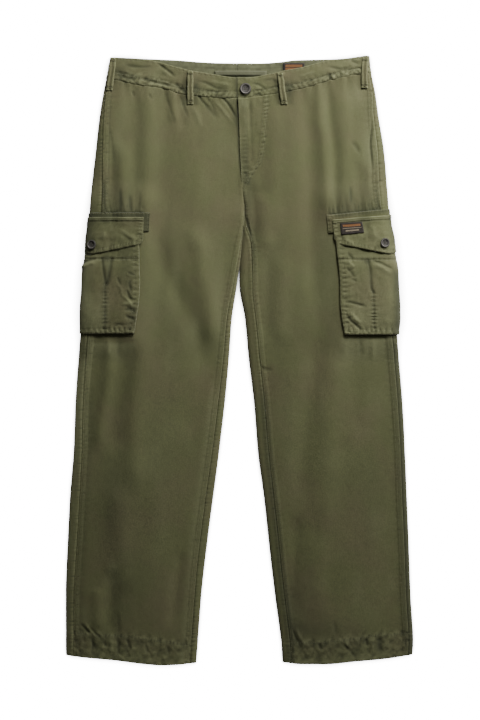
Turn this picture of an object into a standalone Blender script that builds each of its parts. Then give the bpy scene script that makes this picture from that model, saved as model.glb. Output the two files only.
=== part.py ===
"""Cargo pants in woven cotton, laid flat on their back.

Sizes in the tables are millimetres; meshes are metres. X runs across, to the wearer's left. Y runs along the legs,
to the waist. Z is up, from the surface that the pants lie on. "Down" is the distance below the waist's top corner.

Each half of the pants is one ring of cloth, given by ring(): an arc length round the leg and a distance down it
make a point of the outer surface. Every piece is a patch of that ring, or of the ring moved out along its normals,
so that neighbours share their seam and what is sewn on follows what carries it.
"""
import math

import bmesh
import bpy
import numpy as np
from mathutils import Matrix, Vector

MM = 0.001
MERGE = 0.00001          # metres
LENGTH = 1081.0          # waist corner to the lowest point of the hem
CROTCH = 279.0           # down to the point where the four legs' panels meet
SEAM_GAP = 0.3           # between pieces that meet or lie on each other
INSEAM_GAP = 0.5         # on the tight inner fold

CLOTH = 1.2              # leg panels, with their seam allowances
BAND = 2.0               # waistband, folded double
PATCH = 1.2              # cargo pocket cloth
FLAP = 1.5               # cargo flap, folded double
STAY = 1.0               # strip behind the flap
ON_CURVE = 0.3           # further clearance of what lies across curved cloth
SHIELD = 1.0             # fly shield
LOOP = 1.5               # belt loops
TAPE = 0.8               # hanger tape and woven labels

# Height of the front's outer surface over the floor, between its rolled sides: (down, height)
MIDDLE = ((0, 7.4), (70, 7.4), (110, 8.6), (180, 11), (260, 13.5), (330, 15), (440, 14.5), (540, 13), (700, 12),
          (900, 11), (1010, 10), (1081, 9))
LEAST_HEIGHT = 3.1       # front panel pressed on the back panel
EDGE_EASE = 85.0         # width over which the rolled side passes into the middle's height

POCKET_EDGE = SEAM_GAP + PATCH
POCKET_FULL = 6.0        # how far the filled-out pocket stands off the leg
POCKET_UNDER_FLAP = 4.0
POCKET_EASE = 20.0
UNDER_LIFT = POCKET_FULL  # the leg's underside is lifted by the half of the pocket that it lies on
LIFT_WIDTH = 92.0
LIFT_TOP = 266.0
LIFT_BOTTOM = 496.0
LIFT_EASE = 50.0
POCKET_ARC = 108.0       # arc from the side fold to the pocket's front edge, where it is widest
POCKET_CENTRE = 17.0     # arc from the side fold to the pocket's middle
LOOP_LIFT = SEAM_GAP + LOOP
LOOP_COLUMNS = (40.0, 26.0, 12.0)   # distances from the centre back: foot, middle and top of the slope by its loop
LOOP_LIFT_DOWN = (70.0, 104.0)
BACK_LOOP_X = -3.5

# Outline and centre lines. outer: side outline. inner: edge of each leg, or the line where the halves meet.
# outseam: how far the side seam lies in from the outline. inseam: arc from the inner edge over to the inseam.
SECTIONS_RIGHT = (
    # down, outer, inner, outseam, inseam
    (0, -228, -4, 4, 0),
    (23, -232, -4, 4, 0),
    (65, -241, -3, 5, 0),
    (108, -248, -1, 8, 0),
    (171, -255, 1, 13, 0),
    (235, -262, 5, 20, 0),
    (279, -265, 10, 22, 0),
    (341, -268, 4, 18, 6),
    (405, -273, -6, 15, 8),
    (469, -278, -16, 13, 9),
    (532, -284, -20, 13, 10),
    (617, -291, -29, 14, 11),
    (702, -294, -38, 15, 12),
    (787, -301, -50, 18, 12),
    (872, -305, -61, 17, 12),
    (957, -308, -69, 15, 12),
    (1042, -308, -75, 14, 12),
    (1081, -307, -78, 13, 11),
)
SECTIONS_LEFT = (
    (0, 230, -4, 3, 0),
    (23, 232, -4, 3, 0),
    (65, 239, -3, 4, 0),
    (108, 244, -1, 6, 0),
    (171, 255, 1, 10, 0),
    (235, 260, 5, 12, 0),
    (279, 264, 10, 13, 0),
    (341, 269, 4, 12, 20),
    (405, 275, 0, 10, 26),
    (469, 276, 10, 9, 22),
    (532, 282, 16, 8, 22),
    (617, 288, 26, 7, 21),
    (702, 292, 33, 6, 21),
    (787, 295, 44, 6, 20),
    (872, 299, 53, 6, 20),
    (957, 302, 63, 6, 19),
    (1042, 308, 74, 8, 18),
    (1081, 303, 77, 8, 16),
)
SECTION_COLUMNS = ("outer", "inner", "outseam", "inseam")

# Rolled side fold: its height and its half-width, and the inner fold's.
ROLLS = (
    # down, outer_height, outer_depth, inner_height, inner_depth
    (0, 8.5, 4, 7.4, 5),
    (60, 9.5, 7, 7.4, 5),
    (105, 10, 12, 6, 5),
    (150, 11, 17, 6, 5),
    (240, 13, 24, 8, 6),
    (290, 15, 28, 10, 9),
    (430, 15, 28, 10, 11),
    (510, 11, 22, 9, 11),
    (600, 9, 18, 8, 10),
    (1000, 8, 15, 7.5, 9),
    (1081, 7.5, 13, 7, 8),
)
ROLL_COLUMNS = ("outer_height", "outer_depth", "inner_height", "inner_depth")
DIMPLE_FRONT = 62.0      # length over which the front dips towards the crotch
DIMPLE_BACK = 46.0       # length over which the seat seam climbs to the crotch

# Edges that cross the pants: (x, down)
FRONT_RIM = ((-227, 3), (-183, 5), (-149, 10), (-122, 17), (-87, 26), (-45, 33), (-4, 39), (10, 39), (55, 32),
             (81, 26), (108, 21), (161, 8), (189, 5), (224, 0))
BACK_RIM = ((-227, 3), (-183, 5), (-112, 8), (-59, 12), (-6, 14), (30, 14), (65, 12), (101, 8), (171, 6), (224, 0))
FRONT_WAIST_SEAM = ((-238, 42), (-220, 44), (-176, 53), (-140, 58), (-96, 70), (-52, 74), (1, 76), (40, 72),
                    (81, 65), (125, 55), (161, 44), (217, 33), (235, 32))
BACK_WAIST_SEAM = ((-238, 42), (-120, 48), (0, 51), (120, 44), (235, 32))
HEM = ((-307, 1063), (-278, 1067), (-222, 1072), (-165, 1079), (-137, 1081), (-108, 1080), (-80, 1077),
       (79, 1076), (108, 1079), (150, 1079), (207, 1074), (263, 1069), (306, 1062))
HEM_DEPTH = 37.0
HEM_STEP = 0.7           # extra height of the turned hem
HEM_SOFT = 4.0

# Largest folds of the front: half-width, height (troughs below 0) and a path of (x, down).
FOLDS = (
    ("right_pocket_trough", 10, -2.6, (-178, 62), (-174, 165), (-170, 275)),
    ("right_hip_ridge", 13, 2.4, (-154, 70), (-150, 180), (-148, 272)),
    ("right_loop_trough", 8, -2.2, (-124, 76), (-110, 124)),
    ("right_loop_crease", 8, -2.2, (-101, 81), (-80, 127)),
    ("right_fly_crease", 8, -2.0, (-75, 69), (-53, 92)),
    ("right_side_crease", 8, -2.4, (-234, 127), (-219, 156), (-214, 216), (-212, 268)),
    ("right_side_ridge", 11, 2.0, (-199, 120), (-196, 250)),
    ("right_thigh_trough", 12, -2.8, (-84, 361), (-82, 412), (-62, 467), (-48, 510), (-52, 564)),
    ("right_thigh_ridge", 12, 2.4, (-55, 363), (-32, 428)),
    ("right_pocket_ridge", 13, 2.4, (-158, 328), (-156, 486)),
    ("right_knee_trough", 10, -2.4, (-246, 510), (-243, 580), (-250, 642)),
    ("right_knee_trough_two", 10, -2.2, (-188, 510), (-198, 642)),
    ("right_knee_ridge", 10, 2.2, (-218, 517), (-221, 614)),
    ("right_shin_trough", 10, -2.0, (-257, 610), (-246, 729), (-238, 868)),
    ("right_shin_trough_two", 10, -1.8, (-202, 611), (-214, 768)),
    ("right_shin_ridge", 11, 2.0, (-238, 630), (-250, 718)),
    ("right_hem_trough", 9, -1.8, (-218, 950), (-222, 1020)),
    ("left_hip_trough", 15, -2.6, (134, 62), (137, 124), (143, 191), (147, 272)),
    ("left_hip_ridge", 9, 2.4, (147, 58), (154, 132), (162, 203)),
    ("left_sharp_trough", 7, -2.4, (168, 62), (171, 124), (177, 180), (178, 272)),
    ("left_side_ridge", 10, 2.2, (205, 145), (198, 191)),
    ("left_fly_trough", 9, -1.8, (68, 97), (66, 186)),
    ("left_crotch_trough", 9, -2.0, (32, 226), (31, 311)),
    ("left_thigh_trough", 11, -2.6, (144, 257), (150, 322), (152, 483)),
    ("left_thigh_trough_two", 11, -2.4, (58, 401), (57, 499)),
    ("left_thigh_ridge", 10, 2.2, (41, 363), (40, 467)),
    ("left_knee_trough", 12, -2.4, (150, 517), (142, 642)),
    ("left_knee_trough_two", 10, -2.0, (226, 542), (228, 642)),
    ("left_knee_ridge", 12, 2.2, (99, 517), (99, 642)),
    ("left_shin_trough", 11, -2.0, (141, 610), (138, 720), (136, 777)),
    ("left_shin_trough_two", 11, -1.8, (109, 913), (109, 1009)),
)
CENTRE_MARGIN = 1.0      # patches take their height from the flat part of either half
APEX_TOLERANCE = 0.001   # radians
NORMAL_STEP = 0.4        # over which the surface's slopes are taken
FOLD_FADE = 0.28         # share of a fold's length over which it comes and goes
FOLD_MARGIN = 14.0       # folds die out this far before the rolled sides

# Cargo pockets. Where a pair is given, the first is at the front edge and the second at the side fold.
CARGO = {
    "right": {
        "front_edge": ((320, -14), (366, -10), (424, -5), (492, -9)),      # down, change of the front edge's arc
        "stay_top": (279, 279), "stay_depth": 34.0, "stay_beyond": 17.0,
        "flap_top": (286, 286), "flap_corner": 333.0, "flap_point": 352.0, "flap_beyond": 7.0,
        "pocket_top": 320.0, "pocket_bottom": 492.0, "pleat_column": 4, "button": 336.0,
    },
    "left": {
        "front_edge": ((320, -10), (366, -8), (433, -6.5), (492, -12)),
        "stay_top": (283, 272), "stay_depth": 32.0, "stay_beyond": 14.0,
        "flap_top": (292, 283), "flap_corner": 331.0, "flap_point": 350.0, "flap_beyond": 4.0,
        "pocket_top": 320.0, "pocket_bottom": 492.0, "pleat_column": 3, "button": 331.0,
    },
}
PLEAT_DEPTH = 1.6
FLAP_CLEAR = 4.0         # below the flap's point the pocket starts to fill out
BOTTOM_STEEPNESS = 2.0   # the pocket's bottom fills out in half the length
FLAP_LEAST = SEAM_GAP + ON_CURVE + STAY + SEAM_GAP + FLAP      # flap's outer surface off the leg, over the stay
FLAP_MOST = POCKET_UNDER_FLAP + SEAM_GAP + FLAP                # and over the pocket
FLAP_RISE = (298.0, 328.0)                                     # down, between the two
FLAP_ROUNDING = 6.0      # the corners' bottom edge is cut back by this
FLAP_SHARES = np.array([0, 0.1, 0.25, 0.42, 0.6, 0.8, 1.0])
STAY_SHARES = np.array([0, 0.5, 1.0])
BY_SEAM = 0.6            # a column this near to each seam keeps both walls' edges parallel
NEAR_SEAM = 3.0
POCKET_SHARES = (0.2, 0.4, 0.6, 0.8, 1.0)       # columns from the side seam to the pocket's front edge
FRONT_SHARES = np.linspace(0, 1, 10)            # and from there over the front
FOLD_SHARES = (0.62, 0.3, 0, -0.3, -0.62, -1.0)
SLOPE_SHARES = (0, 0.33, 0.67, 1.0)
INNER_SHARES = (0.2, 0.4, 0.6, 0.8)

PANEL_ROWS = np.concatenate([(70, 72), np.linspace(84, 240, 10), (258, 272, 286, 303), (320, 335, 350, 364),
                             (382, 404, 426, 450), (472, 492, 512, 534), np.linspace(570, 1015, 9),
                             (1034, 1040, 1076)])
SEAM_REACH = 170.0       # rows below the waist seam level out over this length
HEM_REACH = 76.0
EDGE_GUESS = 50.0
EDGE_STEPS = 5
BAND_SHARES = np.array([0, 0.06, 0.36, 0.68, 0.95, 1.0])

# Straps: middle of the top end and of the bottom end as (x, down).
LOOP_WIDTH = 11.0
FRONT_LOOPS = {"right": ((-87, 28), (-87, 86)), "left": ((72, 31), (79.5, 86))}
SIDE_LOOPS = {"right": ((8, 5), (13, 62)), "left": ((9, 4), (18, 58))}      # (arc from the side fold, down)
BACK_LOOP = (17, 66)
BACK_LOOP_ROWS = 4
LABEL_ROWS = 3
LABEL_COLUMNS = 5
LOOP_ARCH = 1.4
LOOP_SHARES = np.array([0, 0.1, 0.25, 0.5, 0.75, 0.9, 1.0])
LOOP_RISE = 0.25         # share of the loop's length over which its arch rises
FLY_SHIELD = {"x": (-18, 20), "down": (46, 226), "columns": 5, "rows": 12}
HANGER_TAPE = {"x": [BACK_LOOP_X + reach for reach in (-40, -26, -12, 0, 12, 26, 40, 52)], "down": (26, 35)}
WAIST_LABEL = {"x": [78, 88, 97, 106, 116], "down": (12, 30)}
FLAP_LABEL = ((178, 298), (217, 296), (220, 315), (180, 319))

WAIST_BUTTON = {"place": (11, 59), "diameter": 20.0, "height": 3.4}
CARGO_BUTTON = {"diameter": 16.5, "height": 2.8}
BUTTON_PROFILE = ((0, 0), (0.8, 0), (1.0, 0.35), (1.0, 0.8), (0.86, 1.0), (0.66, 0.66), (0, 0.6))
BUTTON_SIDES = 18
BUTTON_HOLE = 1.9
HOLE_SIDES = 6
HOLE_PLACE = 0.24        # of the button's radius

COLOURS = {
    "cotton": ((0.105, 0.102, 0.048), 0.9, 0.0),
    "woven_label": ((0.05, 0.035, 0.02), 0.85, 0.0),
    "tape": ((0.15, 0.15, 0.085), 0.9, 0.0),
    "button": ((0.03, 0.032, 0.03), 0.4, 0.0),
}


def smooth_step(t):
    t = np.clip(t, 0.0, 1.0)
    return t * t * (3.0 - 2.0 * t)


def smooth_curve(points, at):
    """Monotone cubic through (position, value) pairs, level beyond its ends."""
    x = np.array([p[0] for p in points], float)
    y = np.array([p[1] for p in points], float)
    step = np.diff(x)
    slope = np.diff(y) / step
    tangent = np.zeros(len(x))
    same_way = slope[:-1] * slope[1:] > 0
    mean = 2.0 * slope[:-1] * slope[1:] / np.where(same_way, slope[:-1] + slope[1:], 1.0)
    tangent[1:-1] = np.where(same_way, mean, 0.0)
    tangent[0] = slope[0]
    tangent[-1] = slope[-1]
    at = np.clip(np.asarray(at, float), x[0], x[-1])
    i = np.clip(np.searchsorted(x, at, side="right") - 1, 0, len(step) - 1)
    t = (at - x[i]) / step[i]
    rise = t * t * (3 - 2 * t)
    return (y[i] * (1 - rise) + y[i + 1] * rise
            + step[i] * (tangent[i] * t * (1 - t) ** 2 - tangent[i + 1] * t * t * (1 - t)))


def column(rows, index, at):
    return smooth_curve([(row[0], row[index]) for row in rows], at)


def sign_of(side):
    return 1.0 if side == "left" else -1.0


def section(side, down):
    """Sizes of one half's ring at a distance down, with x measured outwards from the middle."""
    rows = SECTIONS_LEFT if side == "left" else SECTIONS_RIGHT
    found = {name: column(rows, i + 1, down) for i, name in enumerate(SECTION_COLUMNS)}
    found["outer"] = found["outer"] * sign_of(side)
    found["inner"] = found["inner"] * sign_of(side) + SEAM_GAP / 2
    if side == "right":
        found["inner"] = np.maximum(found["inner"], SEAM_GAP / 2 - column(SECTIONS_LEFT, 2, down))
    for i, name in enumerate(ROLL_COLUMNS):
        found[name] = column(ROLLS, i + 1, down)
    for fold in ("outer", "inner"):
        height = found[fold + "_height"] / 2
        depth = found[fold + "_depth"]
        found[fold + "_quarter"] = math.pi / 2 * np.sqrt((height ** 2 + depth ** 2) / 2)
    found["outer_start"] = found["outer"] - found["outer_depth"]
    found["inner_start"] = found["inner"] + found["inner_depth"]
    found["width"] = found["outer_start"] - found["inner_start"]
    found["middle_height"] = smooth_curve(MIDDLE, down)
    found["front_dip"] = smooth_step((down - CROTCH + DIMPLE_FRONT) / DIMPLE_FRONT)
    found["back_climb"] = smooth_step((down - CROTCH + DIMPLE_BACK) / DIMPLE_BACK)
    return found


def underside(side, out, down, sizes):
    """Height of the leg's underside, where it lies on the pocket's hidden half or on the back belt loop."""
    across = smooth_step((out - sizes["outer"] + LIFT_WIDTH + LIFT_EASE) / LIFT_EASE)
    along = smooth_step((down - LIFT_TOP + LIFT_EASE) / LIFT_EASE)
    along = along * smooth_step((LIFT_BOTTOM + LIFT_EASE - down) / LIFT_EASE)
    foot, _middle, top = LOOP_COLUMNS
    from_loop = np.abs(out * sign_of(side) - BACK_LOOP_X)
    loop = smooth_step((foot - from_loop) / (foot - top))
    loop = loop * smooth_step((LOOP_LIFT_DOWN[1] - down) / (LOOP_LIFT_DOWN[1] - LOOP_LIFT_DOWN[0]))
    return UNDER_LIFT * across * along + LOOP_LIFT * loop


def fold_relief(x, down):
    """Sum of the folds: each is a soft ridge or trough along its path."""
    total = np.zeros(np.broadcast(x, down).shape)
    for _name, half_width, height, *path in FOLDS:
        length = [0.0]
        for (x0, d0), (x1, d1) in zip(path, path[1:]):
            length.append(length[-1] + math.hypot(x1 - x0, d1 - d0))
        nearest = np.full(total.shape, 1e9)
        along = np.zeros(total.shape)
        for i, ((x0, d0), (x1, d1)) in enumerate(zip(path, path[1:])):
            run = (x1 - x0) ** 2 + (d1 - d0) ** 2
            t = np.clip(((x - x0) * (x1 - x0) + (down - d0) * (d1 - d0)) / run, 0, 1)
            away = np.hypot(x - x0 - t * (x1 - x0), down - d0 - t * (d1 - d0))
            closer = away < nearest
            nearest = np.where(closer, away, nearest)
            along = np.where(closer, (length[i] + t * (length[i + 1] - length[i])) / length[-1], along)
        fade = smooth_step(along / FOLD_FADE) * smooth_step((1 - along) / FOLD_FADE)
        total += height * fade * np.exp(-(nearest / half_width) ** 2)
    return total


def topside(side, out, down, sizes):
    """Height of the front's outer surface."""
    middle = sizes["middle_height"]
    from_outer = sizes["outer_start"] - out
    from_inner = out - sizes["inner_start"]
    height = middle + (sizes["outer_height"] - middle) * (1 - smooth_step(from_outer / EDGE_EASE))
    height = height + (sizes["inner_height"] - middle) * (1 - smooth_step(from_inner / EDGE_EASE))
    clear = smooth_step(from_outer / FOLD_MARGIN) * smooth_step(from_inner / FOLD_MARGIN)
    height = height + clear * fold_relief(out * sign_of(side), down)
    hem = smooth_curve(HEM, out * sign_of(side)) - HEM_DEPTH
    height = height + HEM_STEP * smooth_step((down - hem) / HEM_SOFT + 0.5)
    return np.maximum(height, LEAST_HEIGHT) + underside(side, out, down, sizes)


def ring(side, arc, down):
    """Outer surface of one half. arc runs from the side fold, positive over the front and negative underneath."""
    arc, down = np.broadcast_arrays(np.asarray(arc, float), np.asarray(down, float))
    sizes = section(side, down)
    outer_q, inner_q, width = sizes["outer_quarter"], sizes["inner_quarter"], sizes["width"]
    round_inner = -(outer_q + width + 2 * inner_q)
    arc = np.where(arc < round_inner, arc + 2 * (outer_q + width + inner_q), arc)
    on_top = arc >= 0
    reach = np.abs(arc)

    turn = np.clip(reach / outer_q, 0, 1) * math.pi / 2
    flat = np.clip(reach - outer_q, 0, width)
    inner_turn = np.clip((reach - outer_q - width) / inner_q, 0, 2) * math.pi / 2
    out = sizes["outer_start"] + sizes["outer_depth"] * np.cos(turn) - flat
    out = out - sizes["inner_depth"] * np.sin(inner_turn)

    low = underside(side, out, down, sizes)
    sheet_out = np.clip(out, sizes["inner_start"], sizes["outer_start"])
    high = topside(side, sheet_out, down, sizes)
    middle = (low + high) / 2
    half = (high - low) / 2
    outer_fold = middle + np.where(on_top, 1, -1) * half * np.sin(turn)
    drop = half * (1 - np.cos(np.minimum(inner_turn, math.pi / 2)))
    top = high - drop * sizes["front_dip"]
    bottom = low + drop * sizes["back_climb"]
    past = inner_turn > math.pi / 2 + APEX_TOLERANCE
    bottom = np.where(past, middle - half * np.cos(inner_turn), bottom)
    z = np.where(reach < outer_q, outer_fold, np.where(on_top, top, bottom))
    return np.stack([out * sign_of(side), LENGTH / 2 - down, z], axis=-1)


def normals(side, arc, down):
    """Outward normals of the ring."""
    step = NORMAL_STEP
    round_leg = ring(side, arc + step, down) - ring(side, arc - step, down)
    along_leg = ring(side, arc, down + step) - ring(side, arc, down - step)
    found = np.cross(round_leg, along_leg) * sign_of(side)
    return found / np.maximum(np.linalg.norm(found, axis=-1, keepdims=True), 1e-9)


def off_ring(side, arc, down, away):
    """The ring, moved out along its normals."""
    return ring(side, arc, down) + normals(side, arc, down) * np.asarray(away, float)[..., None]


def arc_of_inset(side, inset, down):
    """Arc from the side fold to a place that lies inset from the outline, over the front."""
    sizes = section(side, down)
    depth, quarter = sizes["outer_depth"], sizes["outer_quarter"]
    on_fold = np.arccos(np.clip(1 - inset / depth, 0, 1)) / (math.pi / 2) * quarter
    return np.where(inset < depth, on_fold, quarter + inset - depth)


def arc_of_x(side, x, down):
    """Arc of a place on the front, given by its x."""
    return arc_of_inset(side, section(side, down)["outer"] - x * sign_of(side), down)


def inner_arc(side, down, front):
    """Arc of the inner end of a front or back panel: the centre seam, and below the crotch the inseam."""
    sizes = section(side, down)
    half_way = sizes["outer_quarter"] + sizes["width"] + sizes["inner_quarter"]
    seam_share = INSEAM_GAP / 2 * (np.asarray(down) > CROTCH)
    if front:
        return half_way - sizes["inseam"] - seam_share
    return -half_way - sizes["inseam"] + seam_share


def outseam_arc(side, down):
    return arc_of_inset(side, section(side, down)["outseam"], down)


def pocket_arc(side, down):
    """Arc of the cargo pocket's front edge. The leg's columns keep to it along their whole length."""
    return POCKET_ARC + smooth_curve(CARGO[side]["front_edge"], down)


# Columns of points round the leg. All pieces that lie on each other share them, so that their facets are parallel.

def front_columns(side, down):
    """Side seam, pocket's front edge, then over to the inner end."""
    seam = outseam_arc(side, down) + SEAM_GAP / 2
    pocket = pocket_arc(side, down)
    end = inner_arc(side, down, True)
    outer = [seam, seam + BY_SEAM] + [seam + (pocket - seam) * t for t in POCKET_SHARES]
    stay = pocket + CARGO[side]["stay_beyond"]
    fold = end - 3 * NEAR_SEAM
    inner = [stay + (fold - stay) * t for t in FRONT_SHARES]
    return outer + inner + [end - NEAR_SEAM, end - BY_SEAM, end]


def fold_columns(side, down):
    """Round the side fold, from just below the side seam."""
    quarter = section(side, down)["outer_quarter"]
    seam = outseam_arc(side, down) - SEAM_GAP / 2
    fold = [quarter * t for t in FOLD_SHARES]
    fold[0] = np.minimum(fold[0], (seam - BY_SEAM + fold[1]) / 2)
    return [seam, seam - BY_SEAM] + fold


def under_columns(side, down):
    """Underneath: pocket's back edge, the slope of the lifted cloth, then over to the inner fold."""
    sizes = section(side, down)
    level = -sizes["outer_quarter"] + sizes["outer_depth"]
    slope = [level - LIFT_WIDTH - LIFT_EASE * t for t in SLOPE_SHARES]
    under = -sizes["outer_quarter"] - sizes["width"]
    inner = under - sizes["inner_depth"]
    by_loop = [inner + reach for reach in LOOP_COLUMNS]
    return [2 * POCKET_CENTRE - pocket_arc(side, down)] + slope + [(slope[-1] + by_loop[0]) / 2] + by_loop + [under]


def inner_columns(side, down):
    """Round the inner fold, up to the inseam; above the crotch, only up to the centre seam."""
    sizes = section(side, down)
    under = -sizes["outer_quarter"] - sizes["width"]
    end = inner_arc(side, down, False)
    return [under + (end - under) * t for t in INNER_SHARES] + [end + BY_SEAM, end]


# ---- making solids ----

def material(name):
    found = bpy.data.materials.get(name)
    if found:
        return found
    colour, roughness, metallic = COLOURS[name]
    found = bpy.data.materials.new(name)
    found.use_nodes = True
    shader = found.node_tree.nodes["Principled BSDF"]
    shader.inputs["Base Color"].default_value = (*colour, 1.0)
    shader.inputs["Roughness"].default_value = roughness
    shader.inputs["Metallic"].default_value = metallic
    return found


def add_object(name, mesh, finish, collection):
    thing = bpy.data.objects.new(name, mesh)
    mesh.materials.append(material(finish))
    collection.objects.link(thing)
    return thing


def cloth_sheet(name, side, points, thickness, finish, collection):
    """One wall of cloth: an open surface through a grid of points in mm, given its thickness inwards."""
    rows, columns = points.shape[:2]
    shape = bmesh.new()
    bmesh.ops.create_grid(shape, x_segments=columns - 1, y_segments=rows - 1, size=0.5)
    for vert, point in zip(shape.verts, points.reshape(-1, 3)):
        vert.co = Vector(point * MM)
    if side == "left":
        bmesh.ops.reverse_faces(shape, faces=shape.faces)
    mesh = bpy.data.meshes.new(name)
    shape.to_mesh(mesh)
    shape.free()
    mesh.shade_smooth()
    thing = add_object(name, mesh, finish, collection)
    wall = thing.modifiers.new("wall", "SOLIDIFY")
    wall.thickness = thickness * MM
    wall.offset = -1.0


def column_arcs(columns, side, down):
    """Arcs of all columns, each at its own distances down."""
    found = columns(side, down)
    return np.stack([found[i][:, i] for i in range(len(found))], axis=1)


def rows_down(columns, side, rows):
    """Level rows: the same distances down for every column."""
    rows = np.atleast_1d(np.asarray(rows, float))
    return np.repeat(rows[:, None], len(columns(side, rows)), axis=1)


def edge_down(columns, side, front_edge, back_edge):
    """Where each column meets an edge that is given by x and down, on the front and underneath."""
    down = rows_down(columns, side, EDGE_GUESS)
    for _ in range(EDGE_STEPS):
        arc = column_arcs(columns, side, down)
        x = ring(side, arc, down)[..., 0]
        down = np.where(arc > 0, smooth_curve(front_edge, x), smooth_curve(back_edge, x))
    return down


def follow_edges(columns, side):
    """Distances down for a panel's rows, which follow the waist seam at one end and the hem at the other."""
    down = rows_down(columns, side, PANEL_ROWS)
    seam = edge_down(columns, side, FRONT_WAIST_SEAM, BACK_WAIST_SEAM)
    hem = edge_down(columns, side, HEM, HEM)
    first, last = PANEL_ROWS[0], PANEL_ROWS[-1]
    by_seam = 1 - smooth_step((down - first) / SEAM_REACH)
    by_hem = smooth_step((down - last + HEM_REACH) / HEM_REACH)
    return down + (seam + SEAM_GAP - first) * by_seam + (hem - last) * by_hem


def panel(name, columns, side, collection):
    down = follow_edges(columns, side)
    points = ring(side, column_arcs(columns, side, down), down)
    cloth_sheet(name, side, points, CLOTH, "cotton", collection)


def front_inwards(side, down):
    return front_columns(side, down)[::-1]


def back_columns(side, down):
    return fold_columns(side, down) + under_columns(side, down) + inner_columns(side, down)


def band_columns(side, down):
    """Waistband: from the centre front round the side to the centre back."""
    return front_inwards(side, down)[:-2] + back_columns(side, down)[1:]


def waistband(side, collection):
    """Half of the waistband. Its rim dips at the front and shows the inside of the back."""
    rim = edge_down(band_columns, side, FRONT_RIM, BACK_RIM)
    seam = edge_down(band_columns, side, FRONT_WAIST_SEAM, BACK_WAIST_SEAM)
    down = rim + (seam - rim) * BAND_SHARES[:, None]
    points = ring(side, column_arcs(band_columns, side, down), down)
    cloth_sheet("waistband_" + side, side, points, BAND, "cotton", collection)


def place(x, down, away, front=True):
    """Point on the front, or underneath, given by x and the distance down, moved out along the normal."""
    x, down, away = np.broadcast_arrays(*(np.asarray(v, float) for v in (x, down, away)))
    found = {}
    for side in ("right", "left"):
        sizes = section(side, down)
        arc = np.minimum(arc_of_x(side, x, down), sizes["outer_quarter"] + sizes["width"] - CENTRE_MARGIN)
        arc = arc * (1 if front else -1)
        found[side] = off_ring(side, arc, down, away)
        found[side][..., 0] += x - ring(side, arc, down)[..., 0]
    centre = column(SECTIONS_LEFT, 2, down)
    return np.where((x < centre)[..., None], found["right"], found["left"])


def pocket_columns(side, down):
    """Cargo pocket: front edge, side fold, back edge."""
    return front_columns(side, down)[6:0:-1] + fold_columns(side, down)[1:] + under_columns(side, down)[:1]


def to_edge(distance):
    return smooth_step(distance / POCKET_EASE)


def cargo_pocket(side, collection):
    """Patch pocket round the side fold. It fills out from its stitched edges; under the flap it stays thinner."""
    sizes = CARGO[side]
    rows = [row for row in PANEL_ROWS if sizes["pocket_top"] <= row <= sizes["pocket_bottom"]]
    down = rows_down(pocket_columns, side, rows)
    arc = column_arcs(pocket_columns, side, down)
    front = pocket_arc(side, down)
    back = 2 * POCKET_CENTRE - front
    out_of_flap = smooth_step((down - sizes["flap_point"] - FLAP_CLEAR) / POCKET_EASE)
    full = POCKET_UNDER_FLAP + (POCKET_FULL - POCKET_UNDER_FLAP) * out_of_flap
    ease = to_edge(front - arc) * to_edge(arc - back)
    ease = ease * to_edge(down - sizes["pocket_top"]) * to_edge((sizes["pocket_bottom"] - down) * BOTTOM_STEEPNESS)
    away = POCKET_EDGE + (full - POCKET_EDGE) * ease
    away[:, sizes["pleat_column"]] -= PLEAT_DEPTH * ease[:, sizes["pleat_column"]]
    points = off_ring(side, arc, down, away)
    cloth_sheet("cargo_pocket_" + side, side, points, PATCH, "cotton", collection)


def along_flap(side, arc, down, pair):
    """A slanted edge: one distance down at the front edge, another at the side fold and behind it."""
    share = np.clip(arc / pocket_arc(side, down), 0, 1)
    return pair[1] + (pair[0] - pair[1]) * share


def flap_away(side, arc, down):
    """How far the flap's outer surface stands off the leg."""
    front = pocket_arc(side, down) + CARGO[side]["flap_beyond"]
    back = 2 * POCKET_CENTRE - front
    rise = smooth_step((down - FLAP_RISE[0]) / (FLAP_RISE[1] - FLAP_RISE[0]))
    return FLAP_LEAST + (FLAP_MOST - FLAP_LEAST) * rise * to_edge(front - arc) * to_edge(arc - back)


def cargo_flap(side, collection):
    """Flap: level top, corners at both ends, and a point at the middle, where the button is."""
    sizes = CARGO[side]
    beyond = sizes["flap_beyond"]

    def columns(side, down):
        inner = pocket_columns(side, down)
        return [inner[0] + beyond] + inner + [inner[-1] - beyond]

    nominal = rows_down(columns, side, sizes["pocket_top"])
    arc = column_arcs(columns, side, nominal)
    front, back = arc[:, :1], arc[:, -1:]
    middle = (front + back) / 2
    from_point = np.abs(arc - middle) / (front - middle)
    top = along_flap(side, arc, nominal, sizes["flap_top"])
    bottom = sizes["flap_point"] + (sizes["flap_corner"] - sizes["flap_point"]) * from_point
    bottom = bottom - FLAP_ROUNDING * (from_point == from_point.max())
    down = top + (bottom - top) * FLAP_SHARES[:, None]
    arc = column_arcs(columns, side, down)
    points = off_ring(side, arc, down, flap_away(side, arc, down))
    cloth_sheet("cargo_flap_" + side, side, points, FLAP, "cotton", collection)


def cargo_stay(side, collection):
    """Strip on the leg that the flap is sewn to."""
    sizes = CARGO[side]
    beyond = sizes["stay_beyond"]

    def columns(side, down):
        inner = pocket_columns(side, down)
        return [inner[0] + beyond] + inner + [inner[-1] - beyond]

    nominal = rows_down(columns, side, sizes["flap_top"][0])
    arc = column_arcs(columns, side, nominal)
    top = along_flap(side, arc, nominal, sizes["stay_top"])
    down = top + STAY_SHARES[:, None] * sizes["stay_depth"]
    arc = column_arcs(columns, side, down)
    points = off_ring(side, arc, down, np.full(arc.shape, SEAM_GAP + ON_CURVE + STAY))
    cloth_sheet("cargo_stay_" + side, side, points, STAY, "cotton", collection)


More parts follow.
